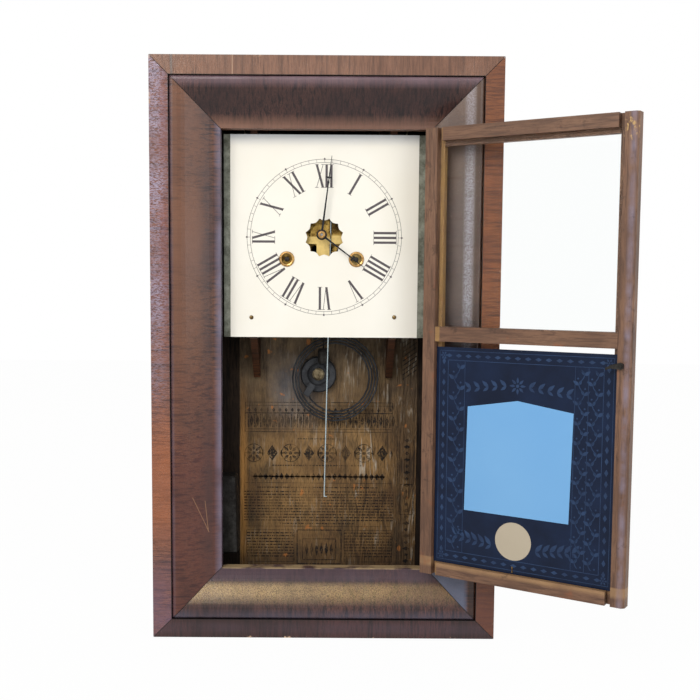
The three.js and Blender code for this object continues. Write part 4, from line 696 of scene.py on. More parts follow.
def right_ogee(t, where, colour):
    z = t.split(where)["Z"]
    inward, lines, _ = frame_lines(t, where)
    # Painted reflection: a grey sheen over the upper part of the ogee.
    painted_sheen = t.times(t.fade(z, 0.3, 0.4), t.lane(inward, 0.022, 0.03, 0.066, 0.074), 0.8)
    colour = t.wash(colour, "66645f", painted_sheen, where, 20.0, 0.55)
    for height in (0.528, 0.483, 0.452):
        seam = t.line(z, height, 0.0006, 0.0022, 0.5)
        colour = t.wash(colour, "38261e", seam, where, 40.0, 0.3)
    # Painted highlight: a pale upright streak down the middle of the ogee, broken by the grain.
    grain = t.fade(t.noise(t.scaled(where, (600, 600, 600)), 1.0, 3.0, 0.7), 0.38, 0.58, 0.2, 1.0)
    painted_streak = t.times(t.lane(inward, 0.03, 0.0345, 0.0395, 0.0435), t.fade(z, 0.3, 0.4), grain, 0.85)
    colour = t.wash(colour, "c9cbda", painted_streak, where, 20.0, 0.5)
    # Painted reflections: blue-grey over the middle lane and at the foot of the ogee.
    cool = t.times(t.lane(inward, 0.03, 0.036, 0.06, 0.07), t.fade(z, 0.3, 0.1, 0.2, 0.8))
    colour = t.wash(colour, "56566c", cool, where, 14.0)
    foot = t.times(t.fade(z, 0.12, 0.07), t.fade(inward, 0.03, 0.036), 0.85)
    colour = t.wash(colour, "5d6478", foot, where, 30.0, 0.5)
    # Painted shade: a dark lane along the outer shoulder.
    colour = t.wash(colour, "241a1b", t.times(t.lane(inward, 0.022, 0.024, 0.029, 0.032), 0.7))
    colour = t.wash(colour, "6f5546", t.times(t.fade(z, 0.3, 0.42), 0.6), where, 10.0)
    return t.wash(colour, LINE_DARK, lines)


def top_ogee(t, where, colour):
    inward, lines, _ = frame_lines(t, where)
    # Painted reflections: a lavender sheen along the outer shoulder and a lighter brown along the inner edge;
    # painted shade in the dark middle lane.
    colour = t.wash(colour, "87707a", t.fade(inward, 0.023, 0.036, 0.75, 0.0), where, 24.0, 0.6)
    colour = t.wash(colour, "281a1b", t.times(t.lane(inward, 0.03, 0.04, 0.056, 0.066), 0.7), where, 12.0)
    colour = t.wash(colour, "83604f", t.fade(inward, 0.062, 0.075, 0.0, 0.8), where, 16.0, 0.6)
    return t.wash(colour, LINE_DARK, lines)


def bottom_ogee(t, where, colour):
    x = t.split(where)["X"]
    inward, lines, _ = frame_lines(t, where)
    # Painted reflections: a blue-grey sheen along the outer shoulder and a dim purple-grey near the opening.
    colour = t.wash(colour, "565263", t.fade(inward, 0.023, 0.034, 0.7, 0.0), where, 24.0, 0.4)
    colour = t.wash(colour, "4c3b45", t.times(t.fade(inward, 0.061, 0.066), 0.75), where, 16.0, 0.6)
    # Painted highlight: a gold streak along the middle of the ogee, broken by crackle and specks.
    crackle = t.node("ShaderNodeTexVoronoi", feature="DISTANCE_TO_EDGE")
    t.put(crackle.inputs["Vector"], t.scaled(where, (420, 420, 620)))
    plate = t.fade(crackle.outputs["Distance"], 0.03, 0.14, 0.35, 1.0)
    speck = t.fade(t.noise(t.scaled(where, (700, 700, 700)), 1.0, 3.0, 0.7), 0.36, 0.54, 0.25, 1.0)
    gold_highlight = t.times(t.lane(inward, 0.037, 0.049, 0.057, 0.063), plate, speck)
    gold_highlight = t.times(gold_highlight, t.fade(x, -0.02, 0.13, 1.0, 0.4))
    colour = t.wash(colour, "cdac76", gold_highlight, where, 13.0, 0.45)
    lip = t.times(t.fade(inward, 0.0762, 0.0772), t.fade(t.noise(where, 45.0, 3.0), 0.4, 0.55))
    colour = t.wash(colour, "b39a74", t.times(lip, 0.8))
    return t.wash(colour, LINE_DARK, lines)


class CLOCK_OT_case(bpy.types.Operator):
    """Veneers the case and its ogee frame"""

    bl_idname = "clock.case"
    bl_label = "Case and ogee frame"

    def execute(self, context):
        bands = (
            ("side_board_left", "Left band veneer", "x", ("8c5a45", "744b40", "4a302b"), 1.0, left_band),
            ("side_board_right", "Right band veneer", "x", ("8f5835", "7c4b30", "5a3626"), 0.5, right_band),
            ("top_board", "Top band veneer", "z", ("8d6651", "7d5947", "5f4437"), 0.6, top_band),
            ("bottom_board", "Bottom band veneer", "z", ("4b2d2c", "3a2322", "261716"), 0.6, bottom_band),
        )
        for node, name, across, tones, crackle, paint in bands:
            dress(veneer(name, across, tones, (0.3, 0.52), crackle, paint=paint), node)
        upright = ("6a4532", "4f3129", "251817")
        ogees = (
            ("left", "Left ogee veneer", "x", upright, 0.3, left_ogee),
            ("right", "Right ogee veneer", "x", upright, 0.3, right_ogee),
            # The top ogee's darker tones are painted shade.
            ("top", "Top ogee veneer", "z", ("593a32", "402825", "1c1213"), 0.6, top_ogee),
            ("bottom", "Bottom ogee veneer", "z", ("5f3f38", "47302e", "231819"), 1.0, bottom_ogee),
        )
        for side, name, across, tones, crackle, paint in ogees:
            wood = veneer(name, across, tones, (0.26, 0.5), crackle, paint=paint, specular=0.25)
            dress(wood, f"ogee_moulding_{side}")
        tones = ("3a2e24", "271e19", "130f0d")
        bare = veneer("Old bare pine", "z", tones, (0.7, 0.9), 0.2, specular=0.1, coat=0.0)
        dress(bare, "backboard", "strike_pulley", "time_pulley")
        tones = ("57341f", "432817", "26170f")
        rails = veneer("Stained rails", "x", tones, (0.5, 0.7), 0.2, specular=0.2, coat=0.0)
        dress(rails, "movement_rail_left", "movement_rail_right")
        return {"FINISHED"}


# ---- Label ----
def paper_material():
    material, t, shader, where = new_material("Aged label paper")
    made = t.group(shared("paper"), Place=where)
    t.put(shader.inputs["Base Color"], made["Color"])
    t.put(shader.inputs["Roughness"], t.fade(made["Crease"], 0, 1, 0.75, 0.45))
    set_gloss(shader, 0.22)
    bump(t, shader, made["Height"], 0.004, 0.9)
    return material


def ink_material():
    """Printing ink that has worn through to the paper in patches."""
    material, t, shader, where = new_material("Worn printing ink")
    made = t.group(shared("paper"), Place=where)
    broad = t.noise(where, 24.0, 4.0, 0.6)
    grain = t.noise(where, 520.0, 3.0, 0.7)
    held = t.times(t.fade(grain, 0.66, 0.5), t.fade(broad, 0.66, 0.46, 0.35, 1.0), 0.95)
    t.put(shader.inputs["Base Color"], t.mix(held, made["Color"], srgb("17191c")))
    shader.inputs["Roughness"].default_value = 0.8
    set_gloss(shader, 0.15)
    bump(t, shader, made["Height"], 0.004, 0.9)
    return material


class LabelPress:
    """Prints plain rules and ornaments on the label, in millimetres."""

    def __init__(self):
        self.mesh = bmesh.new()
        self.front = LABEL_FACE - INK_LIFT
        self.back = LABEL_FACE - INK_SINK
        self.chance = random.Random(7)

    def rule(self, left, right, z, width):
        add_stroke(self.mesh, (left * MM, z * MM), (right * MM, z * MM), width * MM, self.front, self.back)

    def upright(self, x, bottom, top, width):
        add_stroke(self.mesh, (x * MM, bottom * MM), (x * MM, top * MM), width * MM, self.front, self.back)

    def broken_rule(self, left, right, z, width, longest=6.0):
        """A rule broken into short uneven lengths."""
        x = left
        while x < right:
            length = self.chance.uniform(1.2, longest)
            self.rule(x, min(right, x + length), z, width)
            x += length + self.chance.uniform(0.7, 1.3)

    def lozenges(self, left, right, z, width, height, count):
        for n in range(count):
            x = left + (right - left) * (n + 0.5) / count
            add_lozenge(self.mesh, (x * MM, z * MM), width * MM, height * MM, self.front, self.back)

    def rosette(self, x, z, radius, petals):
        add_rosette(self.mesh, (x * MM, z * MM), radius * MM, petals, self.front, self.back)

    def box(self, *edges_and_width):
        add_frame(self.mesh, *(value * MM for value in edges_and_width), self.front, self.back)


def print_upper_bands(press):
    """An arcade band, a row of large ornaments and the ruled lines between."""
    press.box(*LABEL_SPAN, 226.0, 262.7, 0.8)
    press.rule(*LABEL_SPAN, 229.5, 0.5)
    press.rule(*LABEL_SPAN, 258.6, 0.5)
    for n in range(24):
        x = -94.8 + n * 7.6
        press.upright(x, 231.5, 248.0, 1.5)
        press.upright(x + 1.9, 231.5, 248.0, 0.6)
        press.lozenges(x + 1.0, x + 7.2, 239.6, 4.6, 14.5, 1)
        press.lozenges(x - 1.8, x + 3.8, 253.2, 3.6, 6.0, 1)
    press.rule(*LABEL_SPAN, 249.4, 1.6)
    press.broken_rule(-34.0, 12.8, 217.5, 1.6, 4.0)
    for n in range(8):
        x = -88.0 + n * 22.7
        if n % 2:
            press.lozenges(x - 8.0, x + 8.0, 199.6, 13.5, 20.0, 1)
        else:
            press.rosette(x, 199.6, 11.4, 8)
            add_ring(press.mesh, (x * MM, 199.6 * MM), 10.6 * MM, 11.6 * MM, press.front, press.back, 24)
        press.lozenges(x + 9.0, x + 13.7, 199.6, 2.6, 9.0, 1)
    press.broken_rule(-65.2, 46.0, 184.1, 1.5, 3.5)
    press.lozenges(-89.6, 74.3, 170.1, 5.6, 9.4, 25)
    press.rule(-89.6, 74.3, 170.1, 2.0)
    press.rule(*LABEL_SPAN, 162.1, 0.6)


def print_lower_bands(press):
    """Fine broken rules, a ruled foot, the border at the right and slanting strokes above it."""
    press.broken_rule(-83.8, 65.6, 156.5, 1.6, 5.0)
    for n in range(11):
        press.broken_rule(-100.0, 85.0, 151.1 - n * 3.6, 1.5)
    press.broken_rule(-55.5, 36.3, 111.0, 1.3, 4.0)
    press.rule(*LABEL_SPAN, 107.4, 0.5)
    press.box(-34.0, 20.7, 59.8, 102.7, 1.4)
    press.box(-27.2, 13.8, 65.1, 91.5, 0.9)
    press.lozenges(-25.0, 11.6, 78.3, 4.4, 18.0, 6)
    for left, right in ((-97.0, -38.0), (24.6, 84.0)):
        for n in range(9):
            press.broken_rule(left, right, 99.0 - n * 3.7, 1.45)
        press.box(left, right, 62.5, 102.7, 0.6)
    for x in (90.0, 92.0, 110.5):
        press.upright(x, 60.0, 222.0, 0.7)
    for n in range(20):
        press.lozenges(93.0, 110.0, 64.0 + n * 8.0, 9.0 - 3.5 * (n % 2), 5.0, 1)
    press.box(93.5, 109.0, 122.9, 161.1, 1.2)
    for n in range(9):
        low = (95.0 * MM, (292.0 + n * 5.6) * MM)
        high = (112.0 * MM, (304.0 + n * 5.6) * MM)
        add_stroke(press.mesh, low, high, 1.3 * MM, press.front, press.back)


class CLOCK_OT_label(bpy.types.Operator):
    """Ages the label paper and prints its plain bands, rules and border"""

    bl_idname = "clock.label"
    bl_label = "Label paper"

    def execute(self, context):
        dress(paper_material(), "label_paper")
        press = LabelPress()
        print_upper_bands(press)
        print_lower_bands(press)
        face_outward(press.mesh)
        finish_piece("label_print", press.mesh, ink_material(), "case")
        return {"FINISHED"}


# ---- Dial ----
NUMERALS = ["XII", "I", "II", "III", "IIII", "V", "VI", "VII", "VIII", "IX", "X", "XI"]
GLYPH_WIDTH = {"I": 5.5 * MM, "V": 9.4 * MM, "X": 10.0 * MM}


class DialPen:
    """Draws strokes in a numeral's own place: across goes clockwise, up goes outward."""

    def __init__(self, target, hour, front, back):
        self.target = target
        self.turn = math.tau * hour / 12
        self.front = front
        self.back = back

    def place(self, across, up):
        x = across * math.cos(self.turn) + up * math.sin(self.turn)
        z = -across * math.sin(self.turn) + up * math.cos(self.turn)
        return (DIAL_CENTRE[0] + x, DIAL_CENTRE[1] + z)

    def stroke(self, start, end, width):
        half = width / 2
        outline = [
            (start[0] - half, start[1]),
            (start[0] + half, start[1]),
            (end[0] + half, end[1]),
            (end[0] - half, end[1]),
        ]
        add_prism(self.target, [self.place(*point) for point in outline], self.front, self.back)

    def serif(self, middle, level, width, thin):
        self.stroke((middle, level - thin / 2), (middle, level + thin / 2), width)


def draw_numeral(pen, text, settings):
    low, high = settings.numeral_inner, settings.numeral_outer
    thick, thin = settings.thick_stroke, settings.thin_stroke
    total = sum(GLYPH_WIDTH[letter] for letter in text)
    left = -total / 2
    for letter in text:
        width = GLYPH_WIDTH[letter]
        middle = left + width / 2
        reach = width * 0.36
        if letter == "I":
            pen.stroke((middle, low), (middle, high), thick)
            pen.serif(middle, high, width * 0.98, thin * 0.8)
            pen.serif(middle, low, width * 0.98, thin * 0.8)
        if letter == "V":
            pen.stroke((middle, low), (middle - reach, high), thick)
            pen.stroke((middle + thick * 0.2, low), (middle + reach, high), thin)
            pen.serif(middle - reach, high, width * 0.5, thin * 0.8)
            pen.serif(middle + reach, high, width * 0.4, thin * 0.8)
        if letter == "X":
            pen.stroke((middle + reach, low), (middle - reach, high), thick)
            pen.stroke((middle - reach, low), (middle + reach, high), thin)
            for side, level in ((-1, high), (1, high), (-1, low), (1, low)):
                pen.serif(middle + side * reach, level, width * 0.42, thin * 0.8)
        left += width


def dial_paint_material(settings):
    material, t, shader, where = new_material("Dial paint")
    broad = t.noise(where, 11.0, 3.0)
    speck = t.noise(where, 900.0, 2.0)
    paint = opaque(settings.paint)
    colour = t.mix(t.fade(broad, 0.35, 0.7, 0.0, 0.35), paint, srgb("dfd9c8"))
    colour = t.mix(t.fade(speck, 0.72, 0.78, 0.0, 0.25), colour, srgb("b7ab90"))
    # Painted shade: a bluish-grey tone along the dial's top edge, under the case's lip.
    edge = t.fade(t.split(where)["Z"], 0.566, 0.5795, 0.0, 0.6)
    colour = t.mix(edge, colour, srgb("c9d3df"))
    t.put(shader.inputs["Base Color"], colour)
    shader.inputs["Roughness"].default_value = 0.42
    set_gloss(shader, 0.35)
    bump(t, shader, broad, 0.0004, 0.3)
    return material


def dial_ink_material(settings):
    material, t, shader, where = new_material("Dial ink")
    worn = t.fade(t.noise(where, 380.0, 3.0), 0.5, 0.75, 0.0, 0.4)
    t.put(shader.inputs["Base Color"], t.mix(worn, opaque(settings.ink), srgb("6b6460")))
    shader.inputs["Roughness"].default_value = 0.5
    return material


class CLOCK_OT_dial(bpy.types.Operator):
    """Paints the dial with its numerals and minute ring"""

    bl_idname = "clock.dial"
    bl_label = "Dial"

    def execute(self, context):
        settings = context.scene.clock_dial
        dress(dial_paint_material(settings), "dial_plate")
        dress(metal("Dull zinc", "94978a", "5b5c50", 0.6, (0.5, 0.75), 0.5, 60.0), "dial_pan")
        ink = dial_ink_material(settings)
        front, back = DIAL_FACE - INK_LIFT, DIAL_FACE - INK_SINK

        figures = bmesh.new()
        for hour, text in enumerate(NUMERALS):
            draw_numeral(DialPen(figures, hour, front, back), text, settings)
        face_outward(figures)
        finish_piece("dial_numerals", figures, ink, "case")

        track = bmesh.new()
        line = 0.45 * MM
        add_ring(track, DIAL_CENTRE, settings.ring_outer - line, settings.ring_outer, front, back, 120)
        add_ring(track, DIAL_CENTRE, settings.ring_inner - line, settings.ring_inner, front, back, 120)
        for minute in range(60):
            pen = DialPen(track, minute / 5, front, back)
            pen.stroke((0, settings.ring_inner), (0, settings.ring_outer - line), 0.35 * MM)
            if minute % 5 == 0:
                spot = [
                    (-1.3 * MM, settings.ring_outer),
                    (0, settings.ring_outer - 1.7 * MM),
                    (1.3 * MM, settings.ring_outer),
                    (0, settings.ring_outer + 1.5 * MM),
                ]
                add_prism(track, [pen.place(*point) for point in spot], front - 0.02 * MM, back)
        face_outward(track)
        finish_piece("dial_minute_ring", track, ink, "case")

        brass = metal("Pin brass", "a58a5c", "4e3d26", 0.7, (0.3, 0.6), 1.0, 300.0)
        for name, x, z in (("left", -86.2, 369.2), ("right", 79.9, 370.3)):
            pin = bmesh.new()
            profile = [(0.0, -1.3), (1.2, -1.15), (2.1, -0.7), (2.5, 0.0), (0.0, 0.0)]
            add_turned(pin, [(r * MM, DIAL_FACE + y * MM) for r, y in profile], x * MM, z * MM, 20)
            close_turned(pin)
            finish_piece(f"dial_pin_{name}", pin, brass, "case", smooth=True)
        return {"FINISHED"}


# ---- Movement, hands and metalwork ----
def plate_shade_and_highlight(t, where, colour):
    """Painted shade in patches on the front plate above the hands' centre, and a painted highlight below it.
    """
    z = t.split(where)["Z"]
    shade_patches = t.noise(where, 120.0, 4.0, 0.7)
    # Painted highlight on the plate below the hands' centre.
    colour = t.wash(colour, "e9cd86", t.fade(z, HAND_CENTRE[1] + 0.001, HAND_CENTRE[1] - 0.001, 0.0, 0.7))
    # Painted shade in patches on the plate above the hands' centre.
    upper = t.fade(z, HAND_CENTRE[1] - 0.001, HAND_CENTRE[1] + 0.003, 0.0, 0.9)
    return t.wash(colour, "2c1d10", t.times(upper, t.fade(shade_patches, 0.36, 0.56, 0.45, 1.0)))


class CLOCK_OT_metalwork(bpy.types.Operator):
    """Finishes the brass, steel and iron pieces and fits the hand collet"""

    bl_idname = "clock.metalwork"
    bl_label = "Movement, hands and gong"

    def execute(self, context):
        brass = metal("Old brass", "c9a557", "5e4420", 0.55, (0.22, 0.55))
        bright = metal("Bright brass", "cfa668", "7d5c38", 0.55, (0.22, 0.5))
        dark_steel = metal("Dark steel", "4a4642", "23201d", 0.6, (0.35, 0.6))
        steel = metal("Steel", "b8babb", "5f5f5c", 0.5, (0.2, 0.5))
        wire = metal("Bright wire", "c9d6d8", "7f8c8c", 0.3, (0.15, 0.35))
        black = metal("Blued steel", "1d1e24", "0e0f12", 0.5, (0.25, 0.5), 0.5)
        iron = metal("Cast iron", "2b2926", "191512", 0.7, (0.5, 0.8), 0.5, 90.0, 0.0004)
        dark_iron = metal("Gong iron", "36383c", "1f2023", 0.6, (0.45, 0.75), 0.5, 90.0, 0.0003)
        plate = metal("Front plate brass", "c9a557", "5e4420", 0.55, (0.3, 0.6), paint=plate_shade_and_highlight)
        dress(plate, "movement_front_plate")
        dress(brass, "movement_back_plate", "escape_wheel", "minute_wheel", "hour_pipe", "count_wheel")
        dress(brass, "time_great_wheel", "time_second_wheel", "time_third_wheel")
        dress(brass, "strike_great_wheel", "strike_pin_wheel", "strike_warning_wheel", "strike_fly")
        dress(brass, *(f"hinge_{at}_{of}_leaf" for at in ("upper", "lower") for of in ("door", "case")))
        dress(bright, "winding_grommet_left", "winding_grommet_right")
        dress(dark_steel, "time_drum", "strike_drum")
        dress(steel, "verge", "minute_arbor")
        dress(metal("Dull screw brass", "8d8066", "4d4332", 0.6, (0.4, 0.65)), "gong_screw")
        dress(wire, "pendulum_rod")
        dress(black, "minute_hand", "hour_hand")
        dress(dark_iron, "gong_coil", "gong_base")
        dress(iron, "hammer", "strike_pulley_bracket", "time_pulley_bracket")
        dress(iron, "strike_weight", "time_weight", "door_latch")

        collet = bmesh.new()
        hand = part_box("minute_hand")[0][1]
        profile = [(1.45, -1.4), (2.4, -1.7), (4.2, -1.2), (4.6, -0.2), (1.45, -0.2), (1.45, -1.4)]
        add_turned(collet, [(r * MM, hand + y * MM) for r, y in profile], *HAND_CENTRE, 28)
        close_turned(collet)
        finish_piece("hand_collet", collet, bright, "minute", smooth=True)
        return {"FINISHED"}


# ---- Door ----
def door_wear(t, where, colour):
    """Bare tan rabbets, a pale foot rail, a painted highlight along the free stile's outer edge, glue drips
    and orange patches.
    """
    x, y, z = t.split(where)
    colour = t.wash(colour, "a5825c", t.times(t.lane(z, 0.087, 0.091, 0.0985, 0.1), 0.75), where, 22.0, 0.4)
    away = t.maths("ABSOLUTE", x)
    ledge = t.times(t.fade(away, 0.1035, 0.1025), t.fade(away, 0.097, 0.0985))
    colour = t.wash(colour, "a07c48", t.times(ledge, t.fade(x, 0.0, 0.01), 0.85), where, 22.0, 0.5)
    inside = t.fade(y, FRONT + 0.026, FRONT + 0.029)
    # Painted highlight: a lavender-grey lane along the free stile's outer edge, on its back face.
    outer = t.times(t.lane(x, -0.1175, -0.115, -0.1125, -0.109), inside, 0.6)
    colour = t.wash(colour, "887f92", outer, where, 45.0, 0.0)
    drips = t.times(t.fade(x, -0.1, -0.107), t.fade(z, 0.548, 0.56), inside)
    glue = t.fade(t.noise(t.scaled(where, (160, 160, 90)), 1.0, 4.0, 0.7, 1.5), 0.56, 0.62)
    colour = t.wash(colour, "c39f66", t.times(drips, glue, 0.8))
    colour = t.wash(colour, "8c5030", t.fade(t.noise(where, 34.0, 4.0, 0.6), 0.62, 0.72, 0.0, 0.4))
    return t.wash(colour, "2a1b16", t.fade(t.noise(where, 60.0, 4.0, 0.7), 0.6, 0.68, 0.0, 0.45))


def door_wood(name, across):
    tones = ("7f5f4a", "6f513f", "573f32")
    return veneer(name, across, tones, (0.42, 0.66), 0.3, turn=-DOOR_ANGLE, paint=door_wear, coat=0.0)


def clear_glass():
    material, _, shader, _ = new_material("Window glass")
    shader.inputs["Base Color"].default_value = (0.97, 0.985, 0.98, 1.0)
    shader.inputs["Roughness"].default_value = 0.02
    shader.inputs["Transmission Weight"].default_value = 1.0
    shader.inputs["IOR"].default_value = 1.05
    shader.inputs["Specular IOR Level"].default_value = 0.6
    return material


def clouded(name, tone, other, scale, fade, roughness, specular=0.5):
    """Paint on glass in two tones that pass into each other in clouds."""
    material, t, shader, where = new_material(name)
    cloud = t.noise(where, *scale)
    t.put(shader.inputs["Base Color"], t.mix(t.fade(cloud, *fade), tone, other))
    shader.inputs["Roughness"].default_value = roughness
    set_gloss(shader, specular)
    return material


def tablet_materials(settings):
    deep, light = opaque(settings.ground), opaque(settings.raised)
    blue, cream = opaque(settings.pane), opaque(settings.disc)
    soft = (0.3, 0.7, 0.0, 0.3)
    return (
        clouded("Painted glass ground", deep, srgb("14223d"), (26.0, 4.0, 0.6), (0.35, 0.7), 0.3, 0.15),
        clouded("Painted glass ornament", srgb("1d2d4a"), light, (60.0, 4.0, 0.6), (0.3, 0.7), 0.38, 0.2),
        clouded("Window pane blue", blue, srgb("82b4de"), (9.0, 3.0, 0.5), soft, 0.25, 0.2),
        clouded("Round window cream", cream, srgb("b9ae9a"), (30.0, 3.0, 0.5), soft, 0.4),
    )


def door_point(s, z):
    """A place on the shut door: s metres in from the hinge axis, z up."""
    return (HINGE.x - s, z)


def draw_vine(target, x, bottom, top, size, front, back):
    """A waving stem with a leaf at each bend and a berry beside it."""
    bends = max(2, round((top - bottom) / (0.0125 * size)))
    rise = (top - bottom) / bends
    sway = 0.0034 * size
    bend = [n / 4 for n in range(bends * 4 + 1)]
    points = [Vector((x + sway * math.sin(math.pi * n), bottom + rise * n)) for n in bend]
    for a, b in zip(points, points[1:]):
        add_stroke(target, a, b, 0.0009, front, back)
    for n in range(bends):
        side = 1 if n % 2 else -1
        root = points[n * 4 + 2]
        add_leaf(target, root, math.pi / 2 + side * 0.95, 0.0092 * size, 0.0046 * size, front, back)
        add_leaf(target, root, math.pi / 2 - side * 0.5, 0.008 * size, 0.0034 * size, front, back)
        add_round(target, (x + side * 0.0046 * size, root.y - 0.0035), 0.0012 * size, front, back, 8)


def draw_tablet_ornament(target, front, back):
    """A ruled border with lozenges, upright vines, corner rosettes and a spray of leaves."""
    left, right = door_point(0.2185, 0)[0], door_point(0.0195, 0)[0]
    bottom, top = 0.0975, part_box("door_tablet")[1][2] - 0.004
    for inset in (0.0, 0.0105):
        add_frame(target, left + inset, right - inset, bottom + inset, top - inset, 0.0007, front, back)
    middle = 0.00525
    for count, across in ((17, True), (20, False)):
        for n in range(1, count):
            share = n / count
            for far in (False, True):
                if across:
                    place = (left + (right - left) * share, top - middle if far else bottom + middle)
                    add_lozenge(target, place, 0.0075, 0.0042, front, back)
                else:
                    place = (right - middle if far else left + middle, bottom + (top - bottom) * share)
                    add_lozenge(target, place, 0.0042, 0.0075, front, back)
    for x in (left + middle, right - middle):
        for z in (bottom + middle, top - middle):
            add_rosette(target, (x, z), 0.0048, 6, front, back)
    for s, size in ((0.0412, 0.95), (0.1845, 0.85), (0.1995, 0.85)):
        draw_vine(target, door_point(s, 0)[0], bottom + 0.014, top - 0.014, size, front, back)
    for s in (0.0507, 0.1775, 0.192):
        add_stroke(target, door_point(s, bottom + 0.0105), door_point(s, top - 0.0105), 0.0005, front, back)
    centre = door_point(0.1135, 0)[0]
    add_rosette(target, (centre, 0.3005), 0.0095, 8, front, back)
    for side in (-1, 1):
        for n in range(5):
            root = (centre + side * (0.013 + 0.0105 * n), 0.2995 - 0.0012 * n)
            add_leaf(target, root, math.pi / 2 - side * 0.85, 0.0105, 0.0042, front, back)
            add_leaf(target, root, -math.pi / 2 + side * 0.95, 0.008, 0.0034, front, back)
        disc = door_point(*DISC_CENTRE)[0]
        for n in range(6):
            root = (disc + side * (0.026 + 0.0082 * n), 0.122 + 0.001 * n)
            add_leaf(target, root, math.pi / 2 - side * 0.7, 0.0125, 0.0048, front, back)
            add_leaf(target, root, -math.pi / 2 + side * 0.9, 0.0085, 0.0036, front, back)


class CLOCK_OT_door(bpy.types.Operator):
    """Finishes the door, its window glass and the painted lower glass"""

    bl_idname = "clock.door"
    bl_label = "Door"

    def execute(self, context):
        settings = context.scene.clock_door
        dress(door_wood("Door stile wood", "z"), "door_hinge_stile", "door_free_stile")
        dress(door_wood("Door rail wood", "x"), "door_top_rail", "door_mid_rail", "door_bottom_rail")
        dress(clear_glass(), "door_glass")
        ground, raised, pane, disc = tablet_materials(settings)
        dress(ground, "door_tablet")
        front, back = depth(GLASS_FRONT - 0.12), depth(GLASS_BACK + 0.12)
        window = bmesh.new()
        outline = [(54.9, 274.3), (113.7, 284.4), (176.8, 275.5), (174.2, 157.3), (52.5, 157.5)]
        add_prism(window, [door_point(s * MM, z * MM) for s, z in outline], front, back)
        face_outward(window)
        swing_door(window)
        finish_piece("tablet_window", window, pane, "door")

        relief = bmesh.new()
        draw_tablet_ornament(relief, depth(GLASS_FRONT - 0.07), depth(GLASS_BACK + 0.07))
        face_outward(relief)
        swing_door(relief)
        finish_piece("tablet_ornament", relief, raised, "door")

        brad = bmesh.new()
        foot, tip = (Vector((door_point(*DISC_CENTRE)[0], depth(25.3), z * MM)) for z in (95.2, 102.0))
        add_tube(brad, [foot, foot.lerp(tip, 0.8), tip], 0.6 * MM)
        face_outward(brad)
        swing_door(brad)
        finish_piece("tablet_brad", brad, metal("Brad brass", "b08d5a", "5c4426", 0.6, (0.35, 0.6)), "door")

        round_window = bmesh.new()
        x, z = door_point(*DISC_CENTRE)
        add_turned(round_window, [(0, front), (DISC_RADIUS, front), (DISC_RADIUS, back), (0, back)], x, z, 48)
        close_turned(round_window)
        swing_door(round_window)
        finish_piece("tablet_disc", round_window, disc, "door")
        return {"FINISHED"}


# ---- Cords ----
def cord_material():
    material, t, shader, where = new_material("Twisted cord")
    strand = t.node("ShaderNodeTexWave", wave_type="BANDS", bands_direction="DIAGONAL")
    t.put(strand.inputs["Vector"], where)
    t.put(strand.inputs["Scale"], 420.0)
    strand.inputs["Distortion"].default_value = 0.6
    t.put(shader.inputs["Base Color"], t.mix(strand.outputs["Fac"], srgb("8a7c62"), srgb("b8aa8c")))
    shader.inputs["Roughness"].default_value = 0.9
    bump(t, shader, strand.outputs["Fac"], 0.0003, 0.7)
    return material


def cord_route(side, foot):
    """The cord's route in (x, z): across from its drum, over the pulley and down to its weight."""
    drum = Vector((HAND_CENTRE[0] + side * DRUM_SIDE, HAND_CENTRE[1] - DRUM_DROP))
    hub = Vector((side * PULLEY_X, PULLEY_Z))
    gap = hub - drum
    toward = math.atan2(gap.y, gap.x)
    angle = toward - side * math.acos((DRUM_REACH + PULLEY_REACH) / gap.length)
    aim = Vector((math.cos(angle), math.sin(angle)))
    start, meet = drum + aim * DRUM_REACH, hub - aim * PULLEY_REACH
    points = [start.lerp(meet, n / 6) for n in range(6)]
    begin = angle + math.pi
    finish = math.pi if side < 0 else 0.0
    sweep = finish - begin
    while side < 0 and sweep < 0:
        sweep += math.tau
    while side > 0 and sweep > 0:
        sweep -= math.tau
    steps, drops = 16, 40
    for n in range(steps + 1):
        turn = begin + sweep * n / steps
        points.append(hub + Vector((math.cos(turn), math.sin(turn))) * PULLEY_REACH)
    edge = hub.x + side * PULLEY_REACH
    for n in range(1, drops + 1):
        points.append(Vector((edge, hub.y + (foot - hub.y) * n / drops)))
    return points


class CLOCK_OT_cords(bpy.types.Operator):
    """Runs a twisted cord from each drum over its pulley to its weight"""

    bl_idname = "clock.cords"
    bl_label = "Weight cords"

    def execute(self, context):
        material = cord_material()
        for name, side in (("strike", -1), ("time", 1)):
            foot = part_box(f"{name}_cord")[0][2]
            rope = bmesh.new()
            route = [Vector((p.x, depth(CORD_DEPTH), p.y)) for p in cord_route(side, foot)]
            add_tube(rope, route, CORD_RADIUS)
            face_outward(rope)
            piece = finish_piece(f"{name}_weight_cord", rope, material, None, smooth=True)
            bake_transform(piece)
            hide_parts(f"{name}_cord")
        return {"FINISHED"}


# ---- Stage ----
def add_lamp(name, place, size, power, colour):
    """Adds an area lamp that looks at the middle of the clock."""
    data = bpy.data.lights.new(name, "AREA")
    data.shape = "RECTANGLE"
    data.size, data.size_y = size
    data.energy = power
    data.color = colour
    lamp = bpy.data.objects.new(name, data)
    bpy.context.scene.collection.objects.link(lamp)
    aim = Vector((0, 0, CASE_HEIGHT / 2)) - Vector(place)
    lamp.matrix_world = Matrix.Translation(place) @ aim.to_track_quat("-Z", "Y").to_matrix().to_4x4()


def seen_directly(t):
    """A mask that is 1 where the camera sees a place, also through glass or in a reflection."""
    rays = t.node("ShaderNodeLightPath").outputs
    seen = t.maths("ADD", rays["Is Camera Ray"], rays["Is Transmission Ray"], clamp=True)
    return t.maths("ADD", seen, rays["Is Glossy Ray"], clamp=True)


